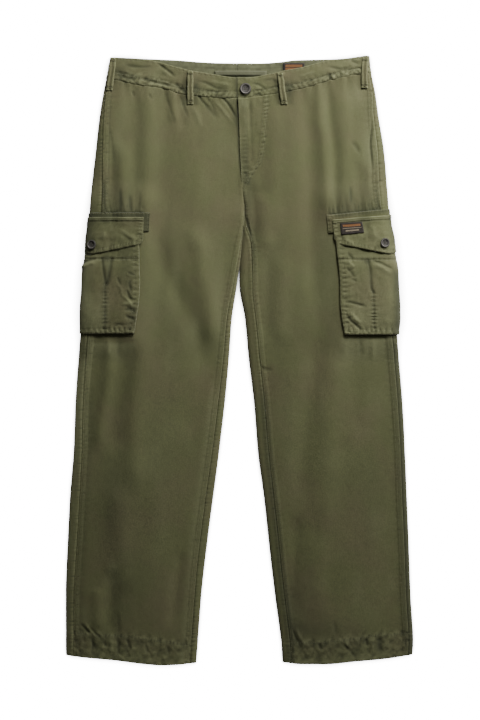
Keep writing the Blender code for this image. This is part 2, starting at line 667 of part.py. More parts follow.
def strap(ends, across):
    """Grid of a straight strap: positions across and down, and its outer surface's distance off the cloth.

    The strap is sewn down at both ends and arches between them.
    """
    (start, down_start), (end, down_end) = ends
    shares = LOOP_SHARES[:, None]
    middle = start + (end - start) * shares
    position = middle + np.asarray(across) * LOOP_WIDTH
    down = down_start + (down_end - down_start) * shares + 0 * position
    arch = smooth_step(shares / LOOP_RISE) * smooth_step((1 - shares) / LOOP_RISE)
    return position, down, LOOP_LIFT + ON_CURVE + LOOP_ARCH * arch + 0 * position


def front_loop(side, collection):
    points = place(*strap(FRONT_LOOPS[side], (-0.5, 0, 0.5)))
    cloth_sheet("belt_loop_front_" + side, "left", points, LOOP, "cotton", collection)


def side_loop(side, collection):
    points = off_ring(side, *strap(SIDE_LOOPS[side], (0.5, 0.25, 0, -0.25, -0.5)))
    cloth_sheet("belt_loop_side_" + side, side, points, LOOP, "cotton", collection)


def back_loop(collection):
    x, down = np.meshgrid(BACK_LOOP_X + np.array([-0.5, 0.5]) * LOOP_WIDTH, np.linspace(*BACK_LOOP, BACK_LOOP_ROWS))
    points = place(x, down, LOOP_LIFT, front=False)
    cloth_sheet("belt_loop_back", "right", points, LOOP, "cotton", collection)


def fly_shield(collection):
    """Strip under the front closing."""
    columns = np.linspace(*FLY_SHIELD["x"], FLY_SHIELD["columns"])
    rows = np.linspace(*FLY_SHIELD["down"], FLY_SHIELD["rows"])
    x, down = np.meshgrid(columns, rows)
    points = place(x, down, -(BAND + SEAM_GAP))
    cloth_sheet("fly_shield", "left", points, SHIELD, "cotton", collection)


def inside_back(name, size, finish, collection):
    """Tape or label on the inside of the back waistband."""
    x, down = np.meshgrid(size["x"], np.linspace(*size["down"], LABEL_ROWS))
    points = place(x, down, -(BAND + SEAM_GAP + TAPE), front=False)
    cloth_sheet(name, "left", points, TAPE, finish, collection)


def flap_label(collection):
    """Woven label at the front corner of the left flap."""
    corners = np.array(FLAP_LABEL, float)
    u, v = np.meshgrid(np.linspace(0, 1, LABEL_COLUMNS), np.linspace(0, 1, LABEL_ROWS))
    u, v = u[..., None], v[..., None]
    flat = (corners[0] * (1 - u) + corners[1] * u) * (1 - v) + (corners[3] * (1 - u) + corners[2] * u) * v
    x, down = flat[..., 0], flat[..., 1]
    points = place(x, down, flap_away("left", arc_of_x("left", x, down), down) + SEAM_GAP + ON_CURVE + TAPE)
    cloth_sheet("label_flap", "left", points, TAPE, "woven_label", collection)


def button(name, centre, normal, sizes, collection):
    """Four-hole button: a turned disc with a raised rim."""
    radius = sizes["diameter"] / 2 * MM
    height = sizes["height"] * MM
    mesh = bpy.data.meshes.new(name)
    edges = [(i, i + 1) for i in range(len(BUTTON_PROFILE) - 1)]
    mesh.from_pydata([(r * radius, 0, h * height) for r, h in BUTTON_PROFILE[::-1]], edges, [])
    thing = add_object(name, mesh, "button", collection)
    turned = thing.modifiers.new("turned", "SCREW")
    turned.steps = BUTTON_SIDES
    turned.render_steps = BUTTON_SIDES
    turned.use_merge_vertices = True
    turned.merge_threshold = MERGE
    upright = Vector((0, 0, 1)).rotation_difference(Vector(normal))
    thing.location = Vector(centre * MM)
    thing.rotation_mode = "QUATERNION"
    thing.rotation_quaternion = upright
    cutter = bmesh.new()
    for quadrant in range(4):
        angle = math.pi / 4 + quadrant * math.pi / 2
        reach = HOLE_PLACE * radius
        at = Matrix.Translation((reach * math.cos(angle), reach * math.sin(angle), height / 2))
        bmesh.ops.create_cone(cutter, cap_ends=True, segments=HOLE_SIDES, radius1=BUTTON_HOLE / 2 * MM,
                              radius2=BUTTON_HOLE / 2 * MM, depth=2 * height, matrix=at)
    cut_mesh = bpy.data.meshes.new(name + "_holes")
    cutter.to_mesh(cut_mesh)
    cutter.free()
    cut = bpy.data.objects.new(name + "_holes", cut_mesh)
    bpy.data.collections["cutters"].objects.link(cut)
    cut.location = thing.location
    cut.rotation_mode = "QUATERNION"
    cut.rotation_quaternion = upright
    cut.hide_render = True
    cut.display_type = "WIRE"
    holed = thing.modifiers.new("holes", "BOOLEAN")
    holed.object = cut


def buttons(collection):
    x, down = WAIST_BUTTON["place"]
    centre = place(x, down, SEAM_GAP + ON_CURVE)
    normal = place(x, down, 1.0) - place(x, down, 0.0)
    button("button_waist", centre, normal, WAIST_BUTTON, collection)
    for side in ("right", "left"):
        down = CARGO[side]["button"]
        centre = off_ring(side, POCKET_CENTRE, down, np.asarray(FLAP_MOST + SEAM_GAP))
        normal = normals(side, np.asarray(POCKET_CENTRE), np.asarray(down))
        button("button_cargo_" + side, centre, normal, CARGO_BUTTON, collection)


def main():
    for thing in list(bpy.data.objects):
        bpy.data.objects.remove(thing, do_unlink=True)
    collection = bpy.data.collections.new("cargo_pants")
    cutters = bpy.data.collections.new("cutters")
    bpy.context.scene.collection.children.link(collection)
    bpy.context.scene.collection.children.link(cutters)
    for side in ("right", "left"):
        panel("front_" + side, front_inwards, side, collection)
        panel("back_" + side, back_columns, side, collection)
        waistband(side, collection)
        cargo_stay(side, collection)
        cargo_pocket(side, collection)
        cargo_flap(side, collection)
        front_loop(side, collection)
        side_loop(side, collection)
    back_loop(collection)
    fly_shield(collection)
    inside_back("hanger_tape", HANGER_TAPE, "tape", collection)
    inside_back("label_waist", WAIST_LABEL, "woven_label", collection)
    flap_label(collection)
    buttons(collection)


main()
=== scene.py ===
"""Cargo pants in washed cotton, laid flat on their back.

Sizes in the tables are millimetres; meshes are metres. X runs across, to the wearer's left. Y runs along the
legs, to the waist. Z is up, from the surface that the pants lie on. "Down" is the distance below the waist's
top corner.

Each half of the pants is one ring of cloth, given by ring(): an arc length round the leg and a distance down
make a point of the outer surface. Each piece of cloth is a patch of that ring, moved out along its normals by
its own relief: folds, seams, the gathers beside them and what the piece lies on.
"""

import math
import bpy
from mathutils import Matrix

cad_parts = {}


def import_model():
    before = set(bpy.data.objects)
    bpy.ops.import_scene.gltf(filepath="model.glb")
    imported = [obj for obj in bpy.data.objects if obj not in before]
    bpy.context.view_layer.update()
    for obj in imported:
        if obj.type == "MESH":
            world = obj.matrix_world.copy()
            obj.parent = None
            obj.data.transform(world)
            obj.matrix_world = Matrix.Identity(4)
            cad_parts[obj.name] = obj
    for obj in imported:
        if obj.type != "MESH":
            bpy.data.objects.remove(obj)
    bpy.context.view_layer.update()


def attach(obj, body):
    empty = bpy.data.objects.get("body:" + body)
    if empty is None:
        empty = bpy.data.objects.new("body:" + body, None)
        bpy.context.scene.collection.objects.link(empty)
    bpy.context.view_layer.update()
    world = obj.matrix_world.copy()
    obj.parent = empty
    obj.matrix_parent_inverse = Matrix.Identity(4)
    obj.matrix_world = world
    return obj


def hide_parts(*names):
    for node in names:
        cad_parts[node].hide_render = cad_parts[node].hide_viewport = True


bl_info = {
    "name": "Cargo Pants",
    "version": (1, 0, 0),
    "blender": (4, 5, 0),
    "location": "View3D > Sidebar > Cargo Pants",
    "description": "Makes a pair of washed cotton cargo pants, laid flat, with their sewing and hardware",
    "category": "Object",
}

import bmesh
import bpy
import numpy as np
from mathutils import Matrix, Vector

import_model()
BODY = "root"
SIDES = ("right", "left")

MM = 0.001
LENGTH = 1081.0          # waist corner to the lowest point of the hem
CROTCH = 279.0           # down to the point where the four legs' panels meet
SEAM_GAP = 0.3           # between pieces that meet or lie on each other
INSEAM_GAP = 0.5
ON_CURVE = 0.3           # further clearance of what lies across curved cloth

# Height of the front's outer surface over the floor, between its rolled sides: (down, height)
MIDDLE = ((0, 7.4), (70, 7.4), (110, 8.6), (180, 11), (260, 13.5), (330, 15), (440, 14.5), (540, 13),
          (700, 12), (900, 11), (1010, 10), (1081, 9))
LEAST_HEIGHT = 3.1       # front panel pressed on the back panel
EDGE_EASE = 85.0         # width over which the rolled side sinks to the middle's height

POCKET_FULL = 6.0        # how far the filled-out pocket stands off the leg
POCKET_UNDER_FLAP = 4.0
POCKET_EASE = 20.0
LIFT_WIDTH = 92.0        # the leg's underside is lifted by the half of the pocket that it lies on
LIFT_TOP = 266.0
LIFT_BOTTOM = 496.0
LIFT_EASE = 50.0
POCKET_ARC = 108.0       # arc from the side fold to the pocket's front edge, where it is widest
POCKET_CENTRE = 17.0     # arc from the side fold to the pocket's middle
LOOP_LIFT = 1.8          # the back belt loop lifts the cloth over it
LOOP_SLOPE = (40.0, 12.0)
LOOP_LIFT_DOWN = (70.0, 104.0)
BACK_LOOP_X = -3.5

# outer: side outline. inner: edge of each leg, or the line where the halves meet.
# outseam: how far the side seam lies in from the outline. inseam: arc from the inner edge over to the inseam.
SECTIONS_RIGHT = (
    # down, outer, inner, outseam, inseam
    (0, -228, -4, 4, 0),
    (23, -232, -4, 4, 0),
    (65, -241, -3, 5, 0),
    (108, -248, -1, 8, 0),
    (171, -255, 1, 13, 0),
    (235, -262, 5, 20, 0),
    (279, -265, 10, 22, 0),
    (341, -268, 4, 18, 6),
    (405, -273, -3.5, 15, 10),
    (469, -278.5, -13, 13.5, 12),
    (532, -285, -17.5, 14, 12.5),
    (617, -291, -25.5, 14, 14),
    (702, -294, -35.5, 15, 14.5),
    (787, -301, -46.5, 18, 15.5),
    (872, -305, -57.5, 17, 15.5),
    (957, -308, -67, 15, 14),
    (1042, -308, -73.5, 14, 13.5),
    (1081, -307, -76.5, 13, 12.5),
)
SECTIONS_LEFT = (
    (0, 230.5, -4, 3.5, 0),
    (23, 233, -4, 4, 0),
    (65, 241.3, -3, 5.3, 0),
    (108, 247.3, -1, 9.3, 0),
    (171, 257.2, 1, 12.2, 0),
    (235, 262.5, 5, 14.5, 0),
    (279, 265.4, 10, 14.4, 0),
    (341, 271.4, 4, 14.4, 20),
    (405, 277.4, 0, 12.4, 26),
    (469, 278, 10, 11, 22),
    (532, 283, 16, 9, 22),
    (617, 290.2, 26, 9.2, 21),
    (702, 294.6, 33, 8.6, 21),
    (787, 298, 44, 9, 20),
    (872, 301.4, 53, 8.4, 20),
    (957, 304.2, 63, 8.2, 19),
    (1042, 308.8, 74, 8.8, 18),
    (1081, 305, 77, 10, 16),
)
SECTION_COLUMNS = ("outer", "inner", "outseam", "inseam")

# Rolled side fold: its height and its half-width, and the inner fold's.
ROLLS = (
    # down, outer_height, outer_depth, inner_height, inner_depth
    (0, 8.5, 4, 7.4, 5),
    (60, 9.5, 7, 7.4, 5),
    (105, 10, 12, 6, 5),
    (150, 11, 17, 6, 5),
    (240, 13, 24, 8, 6),
    (290, 15, 28, 10, 9),
    (430, 15, 28, 10, 11),
    (510, 11, 22, 9, 11),
    (600, 9, 18, 8, 10),
    (1000, 8, 15, 7.5, 9),
    (1081, 7.5, 13, 7, 8),
)
ROLL_COLUMNS = ("outer_height", "outer_depth", "inner_height", "inner_depth")
DIMPLE_FRONT = 62      # length over which the front dips towards the crotch
DIMPLE_BACK = 46       # length over which the seat seam climbs to the crotch

# Edges that cross the pants: (x, down)
FRONT_RIM = ((-227, 3), (-183, 5), (-149, 10), (-122, 17), (-87, 26), (-45, 33), (-4, 39), (10, 39), (55, 32),
             (81, 26), (108, 21), (161, 8), (189, 5), (224, 0))
BACK_RIM = ((-227, 2.5), (-183, 4), (-112, 7), (-59, 11), (-6, 12.8), (30, 12.8), (65, 11), (101, 7),
            (171, 5), (224, -0.3))
FRONT_WAIST_SEAM = ((-238, 42), (-220, 44), (-176, 53), (-140, 58), (-96, 70), (-52, 74), (1, 76), (40, 72),
                    (81, 65), (125, 55), (161, 44), (217, 33), (235, 32))
BACK_WAIST_SEAM = ((-238, 42), (-120, 48), (0, 51), (120, 44), (235, 32))
HEM = ((-307, 1063), (-278, 1067), (-222, 1072), (-165, 1079), (-137, 1081), (-108, 1080), (-80, 1077),
       (79, 1076), (108, 1079), (150, 1079), (207, 1074), (263, 1069), (306, 1062))
# The hem's row of sewing: x, down.
HEM_LINE = ((-307, 1020), (-278, 1024), (-241, 1028), (-211, 1028.5), (-179, 1032), (-126, 1040), (-76, 1045),
            (77, 1041), (138, 1041), (170, 1037), (205, 1034), (232, 1029), (258, 1027), (306, 1024))
HEM_STEP = 0.42          # extra height of the turned hem
HEM_SOFT = 4

# Largest folds of the front: half-width, height (troughs below 0) and a path of (x, down).
FOLDS = (
    # wearer's right
    (18, 2.5, (-165, 30), (-162, 115), (-163, 185), (-165, 230), (-167, 306)),
    (14, -1.5, (-186, 37), (-184, 115), (-184, 185), (-186, 232), (-188, 299)),
    (14, 2.6, (-209, 146), (-207, 180), (-206, 230), (-204, 313)),
    (11, -1.9, (-227, 146), (-227, 180), (-225, 230), (-224, 313)),
    (22, -1.3, (-135, 33), (-131, 115), (-133, 185), (-137, 256), (-140, 327)),
    (8, 1.5, (-121, 44), (-119, 86), (-115, 122)), (9, -1.5, (-107, 44), (-103, 86), (-98, 136)),
    (18, -2.4, (-158, 256), (-145, 330), (-126, 389), (-102, 433), (-85, 469), (-69, 513), (-62, 589)),
    (17, 3, (-88, 292), (-69, 345), (-66, 389), (-57, 433), (-52, 469), (-46, 525)),
    (12, 2.3, (-232, 486), (-231, 557), (-236, 601), (-245, 646), (-253, 713)),
    (17, -2, (-200, 490), (-205, 557), (-210, 601), (-219, 646), (-227, 716)),
    (19, 2.5, (-172, 486), (-176, 557), (-181, 601), (-186, 646), (-188, 699), (-190, 787)),
    (19, 1.3, (-215, 752), (-215, 823), (-207, 893), (-193, 964)),
    (13, -2.2, (-229, 904), (-228, 955), (-228, 1035)), (11, 1.4, (-252, 938), (-251, 1021)),
    (11, -1.4, (-103, 867), (-112, 947), (-121, 1021)),
    # wearer's left
    (17, -2.2, (122, 30), (124, 115), (124, 185), (129, 247), (132, 366), (132, 486)),
    (11, 2.2, (139, 33), (142, 115), (148, 150), (151, 185), (155, 256), (155, 306)),
    (10, -2.1, (157, 33), (161, 115), (167, 150), (170, 185), (172, 256), (171, 302)),
    (14, 2, (178, 44), (187, 115), (190, 168), (186, 239), (182, 302)),
    (10, -1.5, (212, 185), (212, 239), (210, 302)), (8, 1.4, (232, 185), (232, 239), (232, 295)),
    (15, 1.5, (63, 72), (62, 150), (60, 239), (58, 327)), (13, 1.6, (40, 239), (44, 292), (47, 348)),
    (10, -1.3, (19, 221), (23, 283), (26, 336)), (12, -1, (51, 345), (49, 416), (47, 513)),
    (15, 1.4, (78, 345), (74, 433), (74, 522)),
    (19, -2, (139, 479), (131, 557), (127, 601), (122, 646), (116, 690), (111, 743), (106, 823)),
    (22, 2.3, (170, 486), (166, 557), (161, 610), (159, 663), (154, 725), (148, 796), (147, 867)),
    (18, -1.1, (209, 495), (207, 575), (205, 681)), (13, -1.6, (101, 805), (99, 876), (95, 929), (97, 1000)),
    (20, 1, (139, 840), (138, 929), (136, 1009)),
)
FOLD_FADE = 0.2          # share of a fold's length over which it comes and goes
FOLD_MARGIN = 14       # folds die out this far before the rolled sides

# Small creases of the front, in the same form.
CREASES = (
    # wearer's right
    (2, -0.7, (-134, 60), (-120, 100), (-112, 128)), (1.7, -0.9, (-108, 60), (-99, 88), (-88, 116)),
    (1.5, -1.5, (-80, 60), (-66, 80), (-52, 96)), (1.4, -0.9, (-62, 70), (-50, 84), (-40, 104)),
    (1.5, -2, (-40, 62), (-18, 88), (-3, 114)), (4, -0.8, (-66, 84), (-50, 98), (-34, 114)),
    (2.8, 0.9, (-50, 72), (-26, 100), (-8, 126)), (2.4, -0.5, (-232, 118), (-226, 150), (-222, 196)),
    (4, 0.7, (-88, 84), (-74, 106), (-66, 132)), (1.6, -1.1, (-160, 66), (-156, 78)),
    (1.6, -1.1, (-190, 60), (-186, 74)), (2.6, -1.1, (-211, 232), (-209, 276)),
    (2.6, -1, (-176, 238), (-175, 277)), (2.4, -0.9, (-193, 244), (-192, 277)),
    (4, -0.45, (-212, 498), (-214, 540)), (4, 0.6, (-230, 498), (-232, 536)),
    (1.7, -1.5, (-284, 1004), (-272, 1016), (-262, 1028)),
    (1.7, -1.4, (-270, 1010), (-258, 1022), (-244, 1032)),
    (2.2, 1.2, (-276, 1006), (-264, 1018), (-254, 1030)),
    (3.6, -0.6, (-216, 985), (-214, 1008), (-214, 1030)),
    (3, -1.2, (-216, 1028), (-213, 1046), (-216, 1068)),
    (2.2, -1.4, (-261, 1030), (-259, 1044), (-262, 1058)),
    (2.2, -1.3, (-200, 1031), (-196, 1042), (-192, 1054)), (2.6, -1.2, (-240, 1036), (-236, 1050)),
    (3, 1.1, (-228, 1032), (-226, 1060)), (2.4, -1, (-166, 1040), (-162, 1062)),
    (2.2, -0.9, (-128, 1044), (-124, 1066)),
    # wearer's left
    (2.2, -1.1, (236, 104), (232, 160), (238, 215)), (3, -0.9, (196, 150), (206, 160), (216, 176)),
    (2.4, -2, (12, 282), (15, 300), (21, 324)), (2.6, -1, (196, 228), (198, 268)),
    (3, -0.9, (34, 548), (44, 556), (62, 557)), (4, -0.45, (214, 498), (216, 538)),
    (4, 0.6, (236, 500), (238, 545)), (1.7, -1.2, (92, 1012), (100, 1032), (114, 1056)),
    (2.2, 1, (98, 1012), (108, 1032), (120, 1052)), (5, -1.5, (249, 1024), (248, 1044), (250, 1064)),
    (1.8, -0.5, (176, 1038), (192, 1052), (210, 1070)), (2.4, -1.2, (140, 1038), (146, 1056)),
    (2.2, -1.2, (224, 1030), (228, 1050)), (2.6, 1.1, (236, 1026), (236, 1058)),
    (2.6, 1, (184, 1036), (200, 1054)), (3, -0.5, (168, 1000), (172, 1030)),
)
# Patches painted paler (above 0) or darker, partly the dye's unevenness and partly painted light and painted
# shade: x, down, half-width, half-length and strength.
DYE_PAINTED_LIGHT_AND_SHADE = (
    # wearer's right
    (-214, 32, 22, 18, -0.6), (-150, 50, 16, 30, 0.35), (-80, 60, 14, 9, -0.6), (-97, 84, 7, 10, 0.6),
    (-18, 78, 12, 12, 0.7), (-5, 112, 8, 16, -0.6), (-244, 238, 8, 20, -0.7), (-36, 430, 14, 110, 0.3),
    (-223, 920, 9, 24, 0.5), (-190, 1050, 80, 20, 0.16), (-112, 385, 9, 30, 0.3), (-76, 480, 10, 26, 0.3),
    (-160, 150, 34, 60, 0.09), (-217, 165, 12, 34, 0.3), (-192, 70, 18, 26, 0.12), (-135, 340, 16, 40, -0.15),
    (-135, 450, 30, 60, 0.12), (-125, 560, 34, 60, 0.12), (-80, 505, 24, 36, -0.15),
    (-142, 690, 26, 90, 0.18), (-140, 850, 22, 70, 0.14), (-220, 800, 30, 80, -0.4),
    (-205, 950, 26, 70, -0.3),
    # wearer's left
    (88, 58, 16, 10, -0.5), (125, 44, 26, 9, -0.2), (7, 84, 9, 9, 0.7), (128, 1018, 60, 16, -0.45),
    (170, 1050, 90, 22, -0.22), (55, 380, 24, 90, 0.18), (66, 460, 26, 50, 0.12), (22, 335, 11, 50, -0.6),
    (18, 248, 9, 34, -0.5), (145, 400, 22, 90, 0.14), (148, 130, 14, 70, -0.14), (234, 160, 18, 80, 0.5),
    (208, 66, 24, 26, 0.4), (235, 770, 34, 110, -0.16), (90, 640, 22, 90, 0.14), (92, 985, 26, 50, -0.5),
    (80, 140, 16, 60, -0.16), (165, 380, 26, 60, 0.08),
)
# Creases of the waistband.
BAND_CREASES = (
    # wearer's right
    (2.4, -1.1, (-208, 16), (-182, 20), (-150, 20)), (2.2, -1.1, (-216, 26), (-204, 38), (-184, 44)),
    (3, 0.9, (-206, 26), (-188, 36), (-168, 34)), (2, -1.6, (-146, 12), (-130, 24), (-112, 38)),
    (3.5, 0.9, (-136, 26), (-120, 38)), (2, -1.8, (-116, 48), (-104, 58), (-90, 68)),
    (1.8, -1.4, (-192, 38), (-160, 44), (-128, 52), (-100, 60)),
    (2, -1.1, (-80, 44), (-60, 48), (-40, 58), (-14, 60)), (3, 0.8, (-58, 44), (-30, 50), (-12, 54)),
    (2, -0.8, (-70, 60), (-44, 64), (-16, 62)),
    # wearer's left
    (3, 1, (26, 58), (40, 58)), (2, -1.1, (20, 48), (36, 52), (50, 62)),
    (2, -1, (22, 72), (40, 66)), (2.2, -0.8, (40, 44), (60, 42), (68, 50)),
    (2.4, -0.8, (150, 18), (180, 24), (206, 20)), (2.4, -0.8, (196, 8), (214, 16)),
    (2.4, 0.7, (104, 38), (136, 28)), (2.2, -1.6, (160, 30), (161, 46)), (2.6, 1, (166, 32), (167, 44)),
)

# Cargo pockets. Where a pair is given, the first is at the front edge and the second at the side fold.
# front_edge gives the change of the front edge's arc, at its distance down.
CARGO = {
    "right": {
        "front_edge": ((320, -14), (366, -10), (424, -5), (492, -9)),
        "stay_top": (279, 279), "stay_depth": 34, "stay_beyond": 17,
        "flap_top": (287.4, 287.4), "flap_corner": 334.1, "flap_point": 353.1, "flap_beyond": 7,
        "pocket_top": 320, "pocket_bottom": 493.5, "band_seam": 361,
        "pleat": ((361, -233.5), (401, -234), (411, -236.5), (482, -237)),
        "pleat_open": (357, 404), "pleat_width": 9, "pleat_second": 1, "button": (17, 336),
    },
    "left": {
        "front_edge": ((320, -3.4), (345, -3.6), (384, -3.6), (433, -3.8), (492, -10.4)),
        "stay_top": (283, 272), "stay_depth": 32, "stay_beyond": 10.5,
        "flap_top": (292, 283), "flap_corner": 333.4, "flap_point": 352.6, "flap_beyond": 1.2,
        "pocket_top": 320, "pocket_bottom": 495.2, "band_seam": 362,
        "pleat": ((362, 224), (386, 229.5), (414, 232.5), (420, 236), (482, 238)),
        "pleat_open": (361, 416), "pleat_width": 2.5, "pleat_second": 0.35, "button": (22, 333),
    },
}
POCKET_WRINKLES = (
    # wearer's right
    (2.4, -1, (-188, 396), (-194, 404), (-190, 424)), (2.2, -1.2, (-199, 414), (-193, 430), (-186, 436)),
    (2.2, -1.4, (-204, 452), (-194, 450), (-180, 456)), (2.2, -1.2, (-202, 462), (-190, 466), (-181, 470)),
    (3, 1, (-208, 442), (-198, 440), (-186, 444)), (2.2, -1, (-222, 480), (-212, 476), (-202, 480)),
    (4, 0.9, (-262, 372), (-250, 364), (-242, 362)), (2, -1.1, (-281, 374), (-264, 364), (-246, 361)),
    (2.6, 1, (-280, 382), (-264, 371), (-250, 367)), (2.6, 0.6, (-216, 402), (-208, 416), (-204, 434)),
    (2.2, -0.8, (-216, 392), (-208, 410)), (2.4, 1, (-206, 424), (-194, 436), (-186, 446)),
    (2, -1.1, (-198, 384), (-190, 388), (-182, 390)),
    # wearer's left
    (2, -1.4, (187, 456), (196, 470), (208, 480), (219, 489)),
    (3, 1, (196, 456), (206, 468), (216, 476)),
    (2, -1.3, (182, 438), (196, 438), (212, 442), (226, 446)),
    (2.4, -0.9, (186, 374), (196, 384), (204, 396)), (2.4, -0.8, (196, 396), (208, 402)),
    (3, 0.9, (190, 364), (204, 378)), (3.4, 0.9, (234, 370), (252, 377), (270, 390)),
    (2, -1.2, (230, 363), (250, 369), (272, 381)), (2.4, -1, (190, 350), (200, 362)),
)
FLAP_WRINKLES = (
    # wearer's right
    (4, 0.8, (-212, 306), (-196, 322), (-178, 326)), (3, -0.7, (-206, 318), (-190, 330)),
    (3, 0.8, (-236, 312), (-242, 330)),
    # wearer's left
    (4, -0.8, (224, 296), (228, 330)), (4, 0.8, (234, 300), (240, 326)),
    (3, 0.7, (184, 326), (206, 338)),
)
FLAP_CLEAR = 4.0         # below the flap's point the pocket starts to fill out
FLAP_LEAST = 3.4         # flap's outer surface off the leg, over the stay
FLAP_MOST = 5.8          # and over the pocket
FLAP_RISE = (298.0, 328.0)
FLAP_ROUNDING = 9.0      # by how much the flap's front corners are cut up
STAY_AWAY = 1.6

LOOP_WIDTH = 11.0
FRONT_LOOPS = {"right": ((-87, 28), (-87, 86)), "left": ((72, 31), (79.5, 86))}
# Arc from the side fold and distance down, of the two ends.
SIDE_LOOPS = {"right": ((8, 5), (13, 62)), "left": ((10, 4), (20.5, 58))}
BACK_LOOP = (17.0, 66.0)
LOOP_ARCH = 1.4
LOOP_RISE = 0.25
FLY_SHIELD = ((-18, 20), (46, 226))
ZIP_TAPE = ((-6.0, 4.0), (79, 108))        # the bit of zip tape that the open top of the fly lets see
HANGER_TAPE = ((-43.5, 48.5), (26, 35))
WAIST_LABEL = ((78, 116), (12, 30))
FLAP_LABEL = ((178, 298), (217, 296), (220, 315), (180, 319))
BAND_INSIDE = 2.3        # what is sewn inside the back waistband lies this far in from its outer surface

FLY_FACING = ((72, 56), (90, 54), (110, 51.5), (130, 49), (150, 47), (175, 43.5), (191, 37.5), (203, 27),
              (214, 19.5), (228, 13))
CENTRE_FELL = (228.0, 279.0)

WAIST_BUTTON = {"place": (11, 59), "diameter": 20.0, "height": 3.4}
CARGO_BUTTON = {"diameter": 16.5, "height": 2.8}
# Half of the button's section: shares of its radius and of its height.
BUTTON_PROFILE = ((0, 0), (0.8, 0), (0.97, 0.2), (1, 0.55), (0.97, 0.85), (0.88, 1), (0.78, 0.96),
                  (0.7, 0.74), (0.62, 0.6), (0.3, 0.56), (0, 0.56))
HOLE_PLACE = 0.24        # share of the radius from the middle to each hole
HOLE_WIDTH = 1.9

MOUTH = (62.0, 224.0)    # hand-pocket mouths in the side seams, top and bottom

# How the pieces lie on each other, in mm.
BAND_AWAY = 0.6
UNDER_BAND = 1.4         # how far the panels lie under the waistband's surface, where they are sewn into it
SEAM_TUCK = 2.6          # width of back panel under the front panel's edge, in the side seam and the inseam
TUCK = 5.0               # length of panel inside the waistband
LAP = 4.0                # width of the right half under the left one, in the fly
TOUCH_END = 372.0        # down to where the legs part
POCKET_SEWN = 4.2        # pocket's surface off the leg along its sewn edges

FLAP_LABEL_CUT = (39.0, 20.0)
SHIELD_AWAY = -2.9       # surfaces of the fly's shield and zip tape off the front's surface
ZIP_TAPE_AWAY = -0.9
TWIN_ROWS = (1.6, 6.4)   # how far the two rows of sewing lie in from a seam
POCKET_SHARE = 0.9       # the cargo pockets' share of the leg panels' thickness
LINED = ("washed cotton", "cotton inside")         # finishes of the outer and the inner side

# Thicknesses of the other pieces of cloth, in metres.
FLAP_CLOTH = 0.0013
STAY_CLOTH = 0.0009
LOOP_CLOTH = 0.0014
TAPE = 0.0007
ZIP_TAPE_CLOTH = 0.0006
BUTTON_THREAD = {"stitch": 0.0022, "gap": 0.0, "thickness": 0.0007, "seed": 3, "unevenness": 0.02}
TACK_THREAD = {"stitch": 0.0016, "gap": 0.0, "thickness": 0.0006, "seed": 9, "unevenness": 0.05}

# The stage, in metres: name, place, target, size and power of each lamp.
LAMPS = (("key", (0.6, 1.8, 1.0), (0, 0, 0), 0.5, 51.0), ("side", (1.7, 0.85, 0.5), (0, 0.1, 0), 0.5, 26.0))
WORLD_LIGHT = 0.06
FLOOR_GLOW = 22.0
FLOOR_LEVEL = -0.0002
CAMERA_PLACE = (0.0014, 0.001, 3.0)
CAMERA_LENS = 84.4       # mm, on a sensor 36 mm wide


# ---- what a user may change ----

def length_property(name, description, default, least, most):
    return bpy.props.FloatProperty(name=name, description=description, default=default, min=least, max=most,
                                   subtype="DISTANCE", unit="LENGTH")


def strength_property(name, description):
    return bpy.props.FloatProperty(name=name, description=description, default=1.0, min=0.0, max=1.5,
                                   subtype="FACTOR")


class CARGO_PG_sizes(bpy.types.PropertyGroup):
    wall: length_property("Cloth", "Thickness of the leg panels' cloth", 0.0008, 0.0003, 0.0012)
    band: length_property("Waistband", "Thickness of the folded waistband", 0.0016, 0.0008, 0.002)
    creases: strength_property("Creases", "Strength of the small creases")
    gathers: strength_property("Gathers", "Strength of the gathers along seams")
    weave: length_property("Weave", "Distance from yarn to yarn", 0.0007, 0.0003, 0.002)
    stitch: length_property("Stitch", "Length of one stitch", 0.0026, 0.001, 0.006)
    stitch_gap: length_property("Stitch gap", "Gap from stitch to stitch", 0.0007, 0.0002, 0.003)
    thread: length_property("Thread", "Thickness of the sewing thread", 0.0006, 0.0002, 0.001)


def colour_property(name, description, default):
    return bpy.props.FloatVectorProperty(name=name, description=description, default=default, size=4, min=0.0,
                                         max=1.0, subtype="COLOR")


class CARGO_PG_colours(bpy.types.PropertyGroup):
    olive: colour_property("Olive", "Cotton, as dyed", (0.120, 0.127, 0.052, 1))
    # faded: cotton worn on edges and seams, and also the colour of painted light on crests, edges and cloth
    # that lies in shade
    faded_and_painted_light: colour_property("Faded and painted light", "Cotton, worn on edges and seams", (0.225, 0.235, 0.115, 1))
    # deep: painted shade in creases, in gathers' dips and under or beside other parts, and the darker dye
    # patches; the button thread takes this colour too
    dark_dye_and_painted_shade: colour_property("Dark dye and painted shade", "Cotton, unworn in creases", (0.044, 0.049, 0.021, 1))
    cast: colour_property("Cast", "Brown cast of uneven dye", (0.131, 0.119, 0.058, 1))
    inside: colour_property("Inside", "Cotton, inner side", (0.13, 0.137, 0.07, 1))
    thread: colour_property("Thread", "Sewing thread", (0.15, 0.145, 0.066, 1))
    tape: colour_property("Tape", "Hanger tape", (0.12, 0.125, 0.07, 1))
    zip_tape: colour_property("Zip tape", "Zip tape", (0.045, 0.047, 0.045, 1))
    label: colour_property("Label", "Woven labels' ground", (0.022, 0.016, 0.01, 1))
    bar: colour_property("Bar", "Woven labels' broad bar", (0.3, 0.125, 0.035, 1))
    pale_bar: colour_property("Pale bar", "Woven labels' thin bars", (0.34, 0.28, 0.18, 1))
    button: colour_property("Button", "Buttons", (0.036, 0.034, 0.03, 1))
    # button rim: the colour of the buttons' pale rim and middle, partly wear and partly painted light
    button_rim_and_highlight: colour_property("Button rim and highlight", "Worn rims of the buttons", (0.24, 0.22, 0.195, 1))


